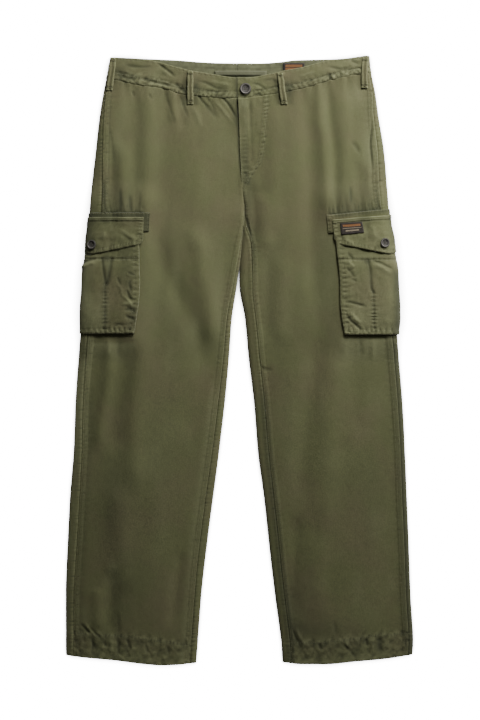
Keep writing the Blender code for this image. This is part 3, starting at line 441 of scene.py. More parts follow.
def sizes_now():
    return bpy.context.scene.cargo_sizes


def colours_now():
    return bpy.context.scene.cargo_colours


# ---- curves and noise ----

def eased(t):
    """t held between 0 and 1, with soft ends."""
    t = np.clip(t, 0.0, 1.0)
    return t * t * (3.0 - 2.0 * t)


def after(place, start, length):
    """0 up to the start of a length, 1 from its end on."""
    return eased((place - start) / length)


def before(place, start, length):
    return 1 - after(place, start, length)


def crest(wave):
    return np.clip(wave, 0, 1)


def dip(wave):
    return np.clip(-wave, 0, 1)


def grids(*values):
    """The values as number grids of one shape."""
    return np.broadcast_arrays(*(np.asarray(value, float) for value in values))


def smooth_curve(points, at):
    """Monotone cubic through (position, value) pairs, level beyond its ends."""
    x = np.array([p[0] for p in points], float)
    y = np.array([p[1] for p in points], float)
    step = np.diff(x)
    slope = np.diff(y) / step
    tangent = np.zeros(len(x))
    same_way = slope[:-1] * slope[1:] > 0
    mean = 2.0 * slope[:-1] * slope[1:] / np.where(same_way, slope[:-1] + slope[1:], 1.0)
    tangent[1:-1] = np.where(same_way, mean, 0.0)
    tangent[0] = slope[0]
    tangent[-1] = slope[-1]
    at = np.clip(np.asarray(at, float), x[0], x[-1])
    i = np.clip(np.searchsorted(x, at, side="right") - 1, 0, len(step) - 1)
    t = (at - x[i]) / step[i]
    rise = t * t * (3 - 2 * t)
    return (y[i] * (1 - rise) + y[i + 1] * rise
            + step[i] * (tangent[i] * t * (1 - t) ** 2 - tangent[i + 1] * t * t * (1 - t)))


def column(rows, index, at):
    return smooth_curve([(row[0], row[index]) for row in rows], at)


def lattice(i, j, seed):
    """A fixed value from -1 to 1 for each whole-numbered place."""
    value = np.sin(i * 127.1 + j * 311.7 + seed * 74.7) * 43758.5453
    return (value - np.floor(value)) * 2 - 1


def soft_noise(u, v, seed):
    """Smooth noise from -1 to 1 with hills one unit apart."""
    u, v = grids(u, v)
    i, j = np.floor(u), np.floor(v)
    s, t = eased(u - i), eased(v - j)
    near = lattice(i, j, seed) * (1 - s) + lattice(i + 1, j, seed) * s
    far = lattice(i, j + 1, seed) * (1 - s) + lattice(i + 1, j + 1, seed) * s
    return near * (1 - t) + far * t


def gathers(along, pitch, seed):
    """Uneven waves along a seam, from -1 to 1."""
    drift = 0.9 * soft_noise(along / (pitch * 3.1), 0.5, seed)
    strength = 0.6 + 0.4 * soft_noise(along / (pitch * 1.9), 0.5, seed + 11)
    return np.sin(2 * math.pi * (along / pitch + drift)) * strength


def beads(along, pitch, seed):
    """Rounded swellings with sharp creases between them, from -1 to 1, as sewing gathers washed cloth."""
    drift = 0.8 * soft_noise(along / (pitch * 2.7), 0.5, seed)
    strength = 0.65 + 0.35 * soft_noise(along / (pitch * 1.7), 0.5, seed + 11)
    return (2 * np.sqrt(np.abs(np.sin(math.pi * (along / pitch + drift)))) - 1.25) * strength


def bell(distance, half_width):
    return np.exp(-(distance / half_width) ** 2)


def fold_relief(folds, x, down, fade_share=FOLD_FADE):
    """Sum of folds: each is a soft ridge or trough along its path."""
    x, down = grids(x, down)
    total = np.zeros(x.shape)
    for half_width, height, *path in folds:
        xs, ds = [p[0] for p in path], [p[1] for p in path]
        reach = 3 * half_width
        near = (x > min(xs) - reach) & (x < max(xs) + reach)
        near &= (down > min(ds) - reach) & (down < max(ds) + reach)
        if not near.any():
            continue
        px, pd = x[near], down[near]
        length = [0.0]
        for (x0, d0), (x1, d1) in zip(path, path[1:]):
            length.append(length[-1] + math.hypot(x1 - x0, d1 - d0))
        nearest = np.full(px.shape, 1e9)
        along = np.zeros(px.shape)
        for i, ((x0, d0), (x1, d1)) in enumerate(zip(path, path[1:])):
            run = (x1 - x0) ** 2 + (d1 - d0) ** 2
            t = np.clip(((px - x0) * (x1 - x0) + (pd - d0) * (d1 - d0)) / run, 0, 1)
            away = np.hypot(px - x0 - t * (x1 - x0), pd - d0 - t * (d1 - d0))
            closer = away < nearest
            nearest = np.where(closer, away, nearest)
            along = np.where(closer, (length[i] + t * (length[i + 1] - length[i])) / length[-1], along)
        fade = eased(along / fade_share) * eased((1 - along) / fade_share)
        total[near] += height * fade * bell(nearest, half_width)
    return total


# ---- the ring of cloth of each half ----

def dye_and_painted_light_and_shade_patches(x, down):
    """How much paler, and how much darker, the cloth is painted at a place: uneven dye, and painted light and
    shade.
    """
    pale, dark = np.zeros(np.shape(x)), np.zeros(np.shape(x))
    for at, at_down, wide, long, strength in DYE_PAINTED_LIGHT_AND_SHADE:
        share = bell(x - at, wide) * bell(down - at_down, long)
        if strength > 0:
            pale += strength * share
        else:
            dark -= strength * share
    return pale, dark


def sign_of(side):
    return 1.0 if side == "left" else -1.0


def section(side, down):
    """Sizes of one half's ring at a distance down, with x measured outwards from the middle."""
    rows = SECTIONS_LEFT if side == "left" else SECTIONS_RIGHT
    found = {name: column(rows, i + 1, down) for i, name in enumerate(SECTION_COLUMNS)}
    found["outer"] = found["outer"] * sign_of(side)
    found["inner"] = found["inner"] * sign_of(side) + SEAM_GAP / 2
    if side == "right":
        found["inner"] = np.maximum(found["inner"], SEAM_GAP / 2 - column(SECTIONS_LEFT, 2, down))
    for i, name in enumerate(ROLL_COLUMNS):
        found[name] = column(ROLLS, i + 1, down)
    for fold in ("outer", "inner"):
        height = found[fold + "_height"] / 2
        depth = found[fold + "_depth"]
        found[fold + "_quarter"] = math.pi / 2 * np.sqrt((height ** 2 + depth ** 2) / 2)
    found["outer_start"] = found["outer"] - found["outer_depth"]
    found["inner_start"] = found["inner"] + found["inner_depth"]
    found["width"] = found["outer_start"] - found["inner_start"]
    found["middle_height"] = smooth_curve(MIDDLE, down)
    found["front_dip"] = after(down, CROTCH - DIMPLE_FRONT, DIMPLE_FRONT)
    found["back_climb"] = after(down, CROTCH - DIMPLE_BACK, DIMPLE_BACK)
    return found


def underside(side, out, down, sizes):
    """Height of the leg's underside, where it lies on the pocket's hidden half or on the back belt loop."""
    across = eased((out - sizes["outer"] + LIFT_WIDTH + LIFT_EASE) / LIFT_EASE)
    along = after(down, LIFT_TOP - LIFT_EASE, LIFT_EASE)
    along = along * eased((LIFT_BOTTOM + LIFT_EASE - down) / LIFT_EASE)
    foot, top = LOOP_SLOPE
    from_loop = np.abs(out * sign_of(side) - BACK_LOOP_X)
    loop = eased((foot - from_loop) / (foot - top))
    loop = loop * eased((LOOP_LIFT_DOWN[1] - down) / (LOOP_LIFT_DOWN[1] - LOOP_LIFT_DOWN[0]))
    return POCKET_FULL * across * along + LOOP_LIFT * loop


def topside(side, out, down, sizes):
    """Height of the front's outer surface."""
    middle = sizes["middle_height"]
    from_outer = sizes["outer_start"] - out
    from_inner = out - sizes["inner_start"]
    height = middle + (sizes["outer_height"] - middle) * (1 - eased(from_outer / EDGE_EASE))
    height = height + (sizes["inner_height"] - middle) * (1 - eased(from_inner / EDGE_EASE))
    clear = eased(from_outer / FOLD_MARGIN) * eased(from_inner / FOLD_MARGIN)
    height = height + clear * fold_relief(FOLDS, out * sign_of(side), down)
    hem = smooth_curve(HEM_LINE, out * sign_of(side)) - 1.5
    height = height + HEM_STEP * eased((down - hem) / HEM_SOFT + 0.5)
    return np.maximum(height, LEAST_HEIGHT) + underside(side, out, down, sizes)


def ring(side, arc, down):
    """Outer surface of one half. arc runs from the side fold: above 0 over the front, below 0 underneath."""
    arc, down = grids(arc, down)
    sizes = section(side, down)
    outer_q, inner_q, width = sizes["outer_quarter"], sizes["inner_quarter"], sizes["width"]
    round_inner = -(outer_q + width + 2 * inner_q)
    arc = np.where(arc < round_inner, arc + 2 * (outer_q + width + inner_q), arc)
    on_top = arc >= 0
    reach = np.abs(arc)

    turn = np.clip(reach / outer_q, 0, 1) * math.pi / 2
    flat = np.clip(reach - outer_q, 0, width)
    inner_turn = np.clip((reach - outer_q - width) / inner_q, 0, 2) * math.pi / 2
    out = sizes["outer_start"] + sizes["outer_depth"] * np.cos(turn) - flat
    out = out - sizes["inner_depth"] * np.sin(inner_turn)

    low = underside(side, out, down, sizes)
    sheet_out = np.clip(out, sizes["inner_start"], sizes["outer_start"])
    high = topside(side, sheet_out, down, sizes)
    middle = (low + high) / 2
    half = (high - low) / 2
    outer_fold = middle + np.where(on_top, 1, -1) * half * np.sin(turn)
    drop = half * (1 - np.cos(np.minimum(inner_turn, math.pi / 2)))
    top = high - drop * sizes["front_dip"]
    bottom = low + drop * sizes["back_climb"]
    past = inner_turn > math.pi / 2 + 0.001
    bottom = np.where(past, middle - half * np.cos(inner_turn), bottom)
    z = np.where(reach < outer_q, outer_fold, np.where(on_top, top, bottom))
    return np.stack([out * sign_of(side), LENGTH / 2 - down, z], axis=-1)


def normals(side, arc, down):
    """Outward normals of the ring."""
    step = 0.4
    round_leg = ring(side, arc + step, down) - ring(side, arc - step, down)
    along_leg = ring(side, arc, down + step) - ring(side, arc, down - step)
    found = np.cross(round_leg, along_leg) * sign_of(side)
    return found / np.maximum(np.linalg.norm(found, axis=-1, keepdims=True), 1e-9)


def off_ring(side, arc, down, away):
    """The ring, moved out along its normals."""
    return ring(side, arc, down) + normals(side, arc, down) * np.asarray(away, float)[..., None]


def arc_of_inset(side, inset, down):
    """Arc from the side fold to a place that lies inset from the outline, over the front."""
    sizes = section(side, down)
    depth, quarter = sizes["outer_depth"], sizes["outer_quarter"]
    on_fold = np.arccos(np.clip(1 - inset / depth, 0, 1)) / (math.pi / 2) * quarter
    return np.where(inset < depth, on_fold, quarter + inset - depth)


def arc_of_x(side, x, down):
    """Arc of a place on the front, given by its x."""
    return arc_of_inset(side, section(side, down)["outer"] - x * sign_of(side), down)


def inner_arc(side, down, front):
    """Arc of the inner end of a front or back panel: the centre seam, and below the crotch the inseam."""
    sizes = section(side, down)
    half_way = sizes["outer_quarter"] + sizes["width"] + sizes["inner_quarter"]
    seam_share = INSEAM_GAP / 2 * (np.asarray(down) > CROTCH)
    if front:
        return half_way - sizes["inseam"] - seam_share
    return -half_way - sizes["inseam"] + seam_share


def outseam_arc(side, down):
    return arc_of_inset(side, section(side, down)["outseam"], down)


def pocket_arc(side, down):
    """Arc of the cargo pocket's front edge."""
    return POCKET_ARC + smooth_curve(CARGO[side]["front_edge"], down)


def place(x, down, away, front=True):
    """Point on the front, or underneath, given by x and the distance down, moved out along the normal."""
    x, down, away = grids(x, down, away)
    found = {}
    for side in SIDES:
        sizes = section(side, down)
        arc = np.minimum(arc_of_x(side, x, down), sizes["outer_quarter"] + sizes["width"] - 1.0)
        arc = arc * (1 if front else -1)
        found[side] = off_ring(side, arc, down, away)
        found[side][..., 0] += x - ring(side, arc, down)[..., 0]
    centre = column(SECTIONS_LEFT, 2, down)
    return np.where((x < centre)[..., None], found["right"], found["left"])


# ---- relief of each kind of piece: height off the ring, its wear with painted light, and its painted shade with darker dye ----

class Relief:
    """Height off the ring, wear of the cloth with painted light, and painted shade with darker dye, added up
    from their parts.
    """

    def __init__(self, height=0.0, worn_and_painted_light=0.0, dark_dye_and_painted_shade=0.0):
        self.height, self.worn_and_painted_light, self.dark_dye_and_painted_shade = height, worn_and_painted_light, dark_dye_and_painted_shade

    def add(self, where, height=0.0, worn_and_painted_light=0.0, dark_dye_and_painted_shade=0.0):
        self.height = self.height + height * where
        self.worn_and_painted_light = self.worn_and_painted_light + worn_and_painted_light * where
        self.dark_dye_and_painted_shade = self.dark_dye_and_painted_shade + dark_dye_and_painted_shade * where

    def ripple(self, wave, where, height=0.0, worn_and_painted_light=0.0, dark_dye_and_painted_shade=0.0):
        """A wave whose crests are painted paler, as wear and painted light, and whose dips are painted dark
        as shade.
        """
        self.add(where, height * wave, worn_and_painted_light * crest(wave), dark_dye_and_painted_shade * dip(wave))


def seam_strip(distance, along, seed, strength=1):
    """A double-sewn seam, distance in from its edge: a raised strip, two sunk rows of sewing and gathers."""
    strength = strength * (1 - 0.3 * after(along, 450, 80))
    marks, pulled = np.minimum(strength, 1), strength * sizes_now().gathers
    rows = bell(distance - 1.6, 0.8) + bell(distance - 6.4, 0.9)
    # painted: a pale edge and pale crests, as wear and painted light; painted shade down the strip's middle
    # and in the gathers' dips
    strip = Relief(0.6 * before(distance, 7.2, 2) - 0.3 * rows, 0.5 * bell(distance, 1) * marks,
                   0.35 * bell(distance - 3.7, 0.8) * marks)
    strip.ripple(beads(along + 0.4 * distance, 6.6, seed + 3), bell(distance - 1.2, 2.1), 0.8 * pulled,
                 0.75 * marks, marks)
    strip.ripple(beads(along, 6.2, seed), bell(distance - 6.2, 2.5), 0.75 * pulled, 0.75 * marks, marks)
    strip.ripple(gathers(along, 12, seed + 5), bell(distance - 11, 5), 0.28 * pulled, 0, 0.3 * marks)
    return strip.height, strip.worn_and_painted_light, strip.dark_dye_and_painted_shade


def under_patches(side, arc, down):
    """1 where a cargo pocket, its flap or its stay covers the leg."""
    sizes = CARGO[side]
    front = pocket_arc(side, down) + np.where(down < sizes["flap_corner"], sizes["flap_beyond"] - 2, -3)
    back = 2 * POCKET_CENTRE - front
    inside = eased((front - arc) / 3 + 0.5) * eased((arc - back) / 3 + 0.5)
    top = level_at(sizes["flap_top"], arc) - 8
    return inside * after(down, top, 3) * eased((sizes["pocket_bottom"] - down) / 3)


def level_at(pair, arc):
    """Distance down between a pair's values, the first at the pocket's front edge, the second at the side."""
    return pair[1] + (pair[0] - pair[1]) * np.clip(arc / POCKET_ARC, 0, 1)


def over_pocket(side, down, beyond, share):
    """Arc at a share of the way over the pocket, from beyond its front edge to as far past its back edge."""
    front = pocket_arc(side, down) + beyond
    return front + (2 * POCKET_CENTRE - 2 * front) * share


def cloth_unrest(x, down, seed):
    """The slight unrest of washed cloth that isn't stretched."""
    broad = soft_noise(x / 46, down / 90, seed) * 0.45
    middle = soft_noise((x + 0.3 * down) / 19, down / 41, seed + 5) * 0.16
    fine = soft_noise((x - 0.2 * down) / 8, down / 15, seed + 9) * 0.05
    return broad + middle + fine


def painted_shade_beside_loop(side, x, down):
    """Painted shade on the cloth on both sides of a front belt loop's foot, beside the raised loop."""
    (x0, d0), (x1, d1) = FRONT_LOOPS[side]
    at = x0 + (x1 - x0) * np.clip((down - d0) / (d1 - d0), 0, 1)
    along = after(down, d0 + 6, 10) * before(down, d1 - 2, 6)
    half = LOOP_WIDTH / 2
    return along * (0.55 * bell(x - at + half + 3, 4.5) + 0.5 * bell(x - at - half - 5, 7))


def front_relief(side, arc, down):
    """Front panel, with its folds, seams, fly facing and hem."""
    arc, down = grids(arc, down)
    right, strength, pocket_bottom = side == "right", sizes_now().gathers, CARGO[side]["pocket_bottom"]
    x = ring(side, arc, down)[..., 0]
    seed = 1 if right else 2
    outer = arc - outseam_arc(side, down)
    inner = inner_arc(side, down, True) - arc
    from_pocket = pocket_arc(side, down) - arc
    below_waist = down - smooth_curve(FRONT_WAIST_SEAM, x)
    above_hem = smooth_curve(HEM, x) - down
    line = smooth_curve(HEM_LINE, x) - down

    small = fold_relief(CREASES, x, down, 0.35) * sizes_now().creases
    pale, dark = dye_and_painted_light_and_shade_patches(x, down)
    # painted: the small creases' crests paler and their troughs darker, as painted light and shade; random
    # paler tone; the dye patches; painted shade beside the belt loops
    cloth = Relief(cloth_unrest(x, down, seed) + small,
                   0.3 * crest(small) + 0.12 * eased(soft_noise(x / 30, down / 55, seed + 60)) + pale,
                   0.6 * np.clip(-small, 0, 1.4) + dark + painted_shade_beside_loop(side, x, down))
    above_line = 1 - 0.5 * eased((1.5 - line) / 2 + 0.5)
    leg = eased((down - CROTCH) / 6 + 0.5)
    cloth.add(above_line, *seam_strip(outer, down, seed + 20, 0.85 if right else 0.65))
    cloth.add(above_line * leg, *seam_strip(inner, down, seed + 30, 0.6))
    # lower legs: painted light beside the right inseam, painted shade beside the right outseam and the left
    # inseam
    low_leg = after(down, 560, 60)
    if right:
        cloth.add(low_leg, 0, 0.4 * bell(inner - 9, 9), 0.35 * bell(outer - 10, 9))
    else:
        cloth.add(low_leg, dark_dye_and_painted_shade=0.55 * bell(inner - 2, 6))

    # gathers that hang from the waistband, under which the panel is sewn; their crests are painted light,
    # their dips and the line under the band painted shade
    wave = 0.5 * gathers(x, 12, seed + 40) + 0.5 * beads(x + 0.4 * below_waist, 8.5, seed + 41)
    hang = gathers(x - 0.15 * below_waist, 23, seed + 42)
    fall, long_fall = (np.exp(-np.maximum(below_waist, 0) / length) for length in (9, 26))
    cloth.ripple(wave, fall, 0.9 * strength * (1 - 0.7 * fall ** 6), 0.35, 0.6)
    cloth.add(1, 0.6 * strength * hang * long_fall + 0.5 * fall - UNDER_BAND * before(below_waist, -0.8, 0.8),
              dark_dye_and_painted_shade=0.1 * bell(below_waist, 1.4) * (1 - wave))

    # gathers over the strip behind the flap, their crests painted light and their dips painted shade; painted
    # shade along the strip's top edge, and a broad band above it painted darker
    above_stay = level_at(CARGO[side]["stay_top"], arc) - down
    beside = after(from_pocket, -12, 10)
    on_stay = (above_stay > 0) * beside
    cloth.ripple(beads(x + 0.15 * above_stay, 7, seed + 44), bell(above_stay - 1, 12) * on_stay,
                 1.1 * strength, 0.5, 1.1)
    cloth.ripple(gathers(x + 0.1 * above_stay, 16, seed + 45), bell(above_stay - 2, 26) * on_stay,
                 0.7 * strength, 0, 0.3)
    cloth.add(beside, dark_dye_and_painted_shade=0.9 * bell(above_stay, 2.4) + 0.35 * bell(above_stay - 3, 9))
    reach = 0.5 * after(from_pocket, 2, 24) if right else 0.42 * after(from_pocket, -14, 24)
    cloth.add(reach, dark_dye_and_painted_shade=bell(above_stay - 26, 28))

    # painted light beside and below the cargo pocket, where its slopes and shadow darken the cloth; on the
    # lower leg's outer side, painted light on the right leg and painted shade on the left
    by_pocket = after(down, 290, 40) * before(down, 520, 60)
    below = after(down, pocket_bottom + (12 if right else 1), 8) * before(down, pocket_bottom + 18, 40)
    cloth.add(by_pocket, 0, (0.1 if right else 0.25) * bell(from_pocket + 12, 17))
    cloth.add(below, 0, 0.75 * after(from_pocket, -10, 14))
    outer_side = bell(outer, 9) * after(down, 480, 30)
    if right:
        cloth.add(outer_side, 0, 0.6 * before(down, 640, 120))
    else:
        cloth.add(outer_side, dark_dye_and_painted_shade=0.5)

    # turned hem: its row of sewing and the gathers that it pulls into the cloth; their crests and the hem's
    # edge are painted light, their dips and the row painted shade
    lean = (0.1 if right else -0.35) * line
    coarse = gathers(x + 1.6 * lean, 21, seed + 50) + 0.7 * soft_noise((x + lean) / 13, line / 22, seed + 53)
    rise = 0.4 * coarse + 0.25 * beads(x + lean, 9.5, seed + 51)
    lumps = (0.6 * soft_noise((x - 0.7 * line) / 7.5, (line + 0.3 * x) / 8.5, seed + 54)
             + 0.45 * soft_noise((x + 0.5 * line) / 4.6, line / 6.5, seed + 55)) * eased(2 - line / 4)
    cloth.ripple(rise, np.where(line > 0, bell(line, 9), 0.35 + 0.65 * bell(line, 11)), strength, 0.4, 0.7)
    cloth.ripple(lumps, 1, 0.6 * strength, 0.45, 0.8)
    cloth.ripple(beads(x, 5.6, seed + 52), bell(line, 2.6), 0.8 * strength, 0.9, 0.9)
    cloth.add(1, -0.4 * bell(line, 1.2), 0.3 * bell(above_hem, 1.6) + 0.3 * bell(above_hem - 5, 8),
              0.3 * bell(line, 1.3) + 0.16 * bell(line + 2, 8))

    # fly facing on the left, with the edge that laps over; the right dips under it, with painted shade beside
    # the lapped edge. Painted shade also lies along the facing's edge, the zip's fold and the gathers' dips,
    # whose crests are painted light, and a strip down the facing is painted darker
    if right:
        gape = after(down, 72, 8) * before(down, 180, 50)
        cloth.add(gape, -1.8 * bell(inner, 5), 0, 1.4 * bell(inner, 3.4) + 0.5 * bell(inner, 7))
        fell = after(down, CENTRE_FELL[0] - 20, 20)
        lumps = 0.5 * bell(inner - 3.5, 3) * fell * (1 + beads(down, 6.6, 68))
        cloth.add(before(down, CROTCH - 14, 12), lumps - (1.2 - 0.6 * fell) * eased((1.5 - inner) / 3))
    else:
        from_edge = inner - smooth_curve(FLY_FACING, down)
        ends = after(down, 66, 6) * before(down, 226, 5)
        dark_strip = (0.1 + 0.4 * after(down, 145, 30)) * eased((19 - inner) / 5)
        cloth.add(ends, bell(inner, 3.5) - 0.45 * bell(from_edge, 1.2), 0,
                  dark_strip + 0.6 * bell(inner, 2) + 0.45 * bell(from_edge, 1.3))
        cloth.add(eased(0.5 - from_edge / 2.5) * ends, 0.45 + 0.3 * soft_noise(inner / 7, down / 9, 67))
        over_zip = after(down, 76, 12) * before(down, 172, 22) * (0.75 + 0.4 * soft_noise(down / 19, 0.5, 69))
        from_zip = inner - 22.5 - 0.8 * soft_noise(down / 17, 0.5, 64)
        cloth.add(over_zip, 0.5 * bell(from_zip + 5.5, 3.4) - 0.7 * bell(from_zip, 2.2),
                  0.3 * bell(inner - 14, 3), 0.5 * bell(from_zip, 1.8))
        cloth.ripple(beads(down + 0.25 * inner, 6.3, 61), bell(from_edge + 3.5, 4.2) * ends, 1.4, 0.8, 1.2)
        low = after(down, 128, 24) * ends
        step = beads(down + 0.3 * soft_noise(down / 9, inner / 5, 66), 7.6, 65)
        cloth.ripple(step, bell(inner - 9, 6) * low, 1)
        cloth.ripple(step, bell(inner - 9, 5) * low, 0, 0.4, 0.8)
        fell = after(down, CENTRE_FELL[0], 6) * before(down, CENTRE_FELL[1], 8)
        cloth.add(fell, *seam_strip(inner, down, 70, 0.6))
        cloth.add(fell, dark_dye_and_painted_shade=0.8 * crest(beads(down, 5.6, 71)) * bell(inner - 6, 4))

    # the mouth of the hand pocket, between its bar tacks, with a line of painted shade 9.5 mm in from the
    # seam
    cloth.add(after(down, MOUTH[0], 8) * before(down, MOUTH[1], 6), 0.5 * bell(outer, 3), 0,
              (0.4 if right else 0.1) * bell(outer - 9.5, 2))
    covered = under_patches(side, arc, down)
    return cloth.height * (1 - covered) - 0.15 * covered, cloth.worn_and_painted_light, cloth.dark_dye_and_painted_shade


def back_relief(side, arc, down):
    """Back panel. On the folds it carries the seams' other halves; underneath it is plain."""
    arc, down = grids(arc, down)
    right = side == "right"
    seed = 5 if right else 6
    x, _y, z = np.moveaxis(ring(side, arc, down), -1, 0)
    outer = outseam_arc(side, down) - arc
    inner = arc - inner_arc(side, down, False)
    above_hem = smooth_curve(HEM, x) - down
    line = smooth_curve(HEM_LINE, x) - down
    below_waist = down - smooth_curve(BACK_WAIST_SEAM, x)
    shown = after(z, 1.2, 3)
    covered = under_patches(side, arc, down)
    leg = eased((down - CROTCH) / 6 + 0.5)

    # painted light on the hem's edge; painted shade along the side seam and under the waistband
    cloth = Relief(0.6 * cloth_unrest(x * 1.3, down, seed) + 0.6 * eased((7 - outer) / 4)
                   - 0.4 * bell(line, 1.3), 0.35 * bell(above_hem, 1.6),
                   0.25 * bell(outer, 1.4) + 0.5 * bell(below_waist, 1.8))
    cloth.ripple(beads(down, 6.2, 24 if right else 25), bell(outer - 1.5, 4), 0.55, 0.7, 0.9)
    cloth.ripple(beads(down, 6.8, seed + 4), bell(inner - 1.5, 4.5) * leg, 0.5, 0.6, 0.7)
    cloth.add(leg, 0.6 * eased((7 - inner) / 4), 0, 0.2 * bell(inner, 1.4))
    wave = 0.5 * gathers(x + 0.2 * line, 19, seed + 6) + 0.6 * beads(arc, 8, seed + 7)
    cloth.ripple(wave, np.where(line > 0, bell(line, 8), 0.4 + 0.6 * bell(line, 11)), 0.7, 0.5, 0.6)
    # lower legs' sides: painted light on the right leg's turned side, painted shade on the left leg's turned
    # side and beside its inseam
    if right:
        cloth.add(after(down, 480, 40), 0, 0.8 * (1 - 0.6 * after(down, 640, 120)) * bell(outer, 30))
    else:
        cloth.add(after(down, 480, 40), dark_dye_and_painted_shade=0.9 * bell(outer, 16))
        cloth.add(after(down, 560, 60), dark_dye_and_painted_shade=0.7 * bell(inner, 8))

    # the seat seam, sewn twice
    seat = (0.6 if right else 1) * bell(inner - 4, 4.5) * (1 - leg)
    cloth.add(seat, 0.3)
    cloth.ripple(beads(down, 6.4, 74), seat, 0.4, 0.5, 0.8)

    # the legs touch below the crotch
    sizes = section(side, down)
    half_way = -(sizes["outer_quarter"] + sizes["width"] + sizes["inner_quarter"])
    touch = after(down, CROTCH - 10, 12) * before(down, TOUCH_END, 16)
    height = cloth.height * shown - 0.35 * (1 - shown) * crest(cloth.height)
    height += 0.9 * touch * bell(arc - half_way, 9)
    height = height * (1 - covered) - 0.15 * covered
    tucked = np.maximum(eased(0.6 - outer), eased(0.6 - inner) * leg)
    height -= 1.15 * tucked + UNDER_BAND * before(below_waist, -0.8, 0.8) * shown
    return height, cloth.worn_and_painted_light, cloth.dark_dye_and_painted_shade


def band_edges(arc, x):
    front = arc > 0
    rim = np.where(front, smooth_curve(FRONT_RIM, x), smooth_curve(BACK_RIM, x))
    seam = np.where(front, smooth_curve(FRONT_WAIST_SEAM, x), smooth_curve(BACK_WAIST_SEAM, x))
    return rim, seam


def band_relief(side, arc, down):
    """Waistband: the gathered ridge over its lower seam, its rim and its diagonal creases."""
    arc, down = grids(arc, down)
    x, _y, z = np.moveaxis(ring(side, arc, down), -1, 0)
    rim, seam = band_edges(arc, x)
    above_seam, below_rim = seam - down, down - rim
    front = arc > 0
    seed = 80 if side == "right" else 81
    above_ridge = above_seam - np.where(x < -100, 15, 11.5) - 1.4 * soft_noise(x / 13, 0.5, seed + 8)
    slanted = x + 0.35 * above_seam * sign_of(side)
    low_row = beads(slanted, 8.2, seed) * (0.75 + 0.45 * soft_noise(x / 26, 0.5, seed + 12))
    high_row = beads(slanted + 2, 9.6, seed + 2) * (0.75 + 0.45 * soft_noise(x / 31, 0.5, seed + 13))
    on_ridge = eased(0.5 - above_ridge / 3) * eased(above_seam / 2)
    crease = bell(above_ridge, 1.5) * (0.85 + 0.5 * soft_noise(x / 8, 0.5, seed + 14))
    crease = crease * (1 - 0.5 * bell(x + 42, 36))
    lumps = (soft_noise((x + 0.9 * above_seam) / 5.5, above_seam / 4.5, seed + 20)
             + 0.7 * soft_noise((x - 0.8 * above_seam) / 3.8, above_seam / 3.4, seed + 21))
    by_button = bell(x - 20, 55) * front
    strength = sizes_now().gathers * (1 - 0.4 * by_button)
    small = fold_relief(BAND_CREASES, x, down, 0.3) * sizes_now().creases * front
    pale, dark = dye_and_painted_light_and_shade_patches(x, down)
    # painted: the rim's edge and crests paler, as wear and painted light; painted shade in the creases, in
    # the rows' dips, along the lower seam and on a line inside the back
    band = Relief(BAND_AWAY * eased(above_seam / 3) - 1.1 * crease - 0.3 * bell(above_seam - 2.6, 0.9)
                  + small + 0.4 * soft_noise(x / 13, down / 7, seed + 4) - 0.25 * bell(below_rim - 3, 0.9),
                  0.45 * bell(below_rim, 1.3) + 0.35 * crest(small) + 0.06
                  + 0.15 * eased(soft_noise(x / 11, down / 8, seed + 9)),
                  0.9 * crease * (0.75 - 0.5 * high_row) + 0.6 * bell(below_rim - 9.5, 1.2) * (arc < 0)
                  + 0.65 * np.clip(-small, 0, 1.3) + 0.5 * bell(above_seam, 1.2) * (0.7 - 0.5 * low_row))
    band.ripple(low_row, bell(above_seam - 3.4, 4.2), 0.75 * strength, 0.8, 1)
    band.ripple(high_row, bell(above_ridge + 2.4, 4), 0.7 * strength, 0.8, 1)
    band.ripple(lumps, on_ridge, 0.42 * strength, 0.35 * front, 0.6 * front)
    band.add(on_ridge, 0.5 + 0.4 * strength * gathers(slanted, 19, seed + 3), -0.2 * by_button)
    upper = beads(x - 0.5 * below_rim * sign_of(side), 13, seed + 5)
    band.ripple(upper, bell(above_ridge - 5, 5), 0.35 * strength, 0, 0.35)
    rim_wave = beads(x - 0.4 * below_rim, 9, seed + 6)
    band.ripple(rim_wave, bell(below_rim - 1.5, 3.5), 0.3)
    band.ripple(rim_wave, bell(below_rim - 1.5, 4), 0, 0.6, 0.5)
    band.ripple(soft_noise(x / 4.5, down / 4, seed + 22), arc < 0, 0, 0.7, 0.8)
    # the dye patches, painted light over the band's front towards the left side, and painted shade beside the
    # belt loops
    band.add(front, 0, pale + 0.28 * after(x, 130, 40), dark + painted_shade_beside_loop(side, x, down))
    height, dark_dye_and_painted_shade = band.height * after(z, 1.2, 3), band.dark_dye_and_painted_shade
    # the right half dips under the left, with painted shade beside the lapped edge
    if side == "right":
        from_edge = inner_arc(side, down, True) - arc
        height -= 1.5 * eased((2 - from_edge) / 3) * front
        dark_dye_and_painted_shade += 1.2 * bell(from_edge, 5) * front
    return height, band.worn_and_painted_light, dark_dye_and_painted_shade


def turned_in(distance):
    """Falls off to a rounded, turned-in edge."""
    return np.sqrt(np.clip(1 - np.clip(1 - distance / 1.6, 0, 1) ** 2, 0.02, 1))


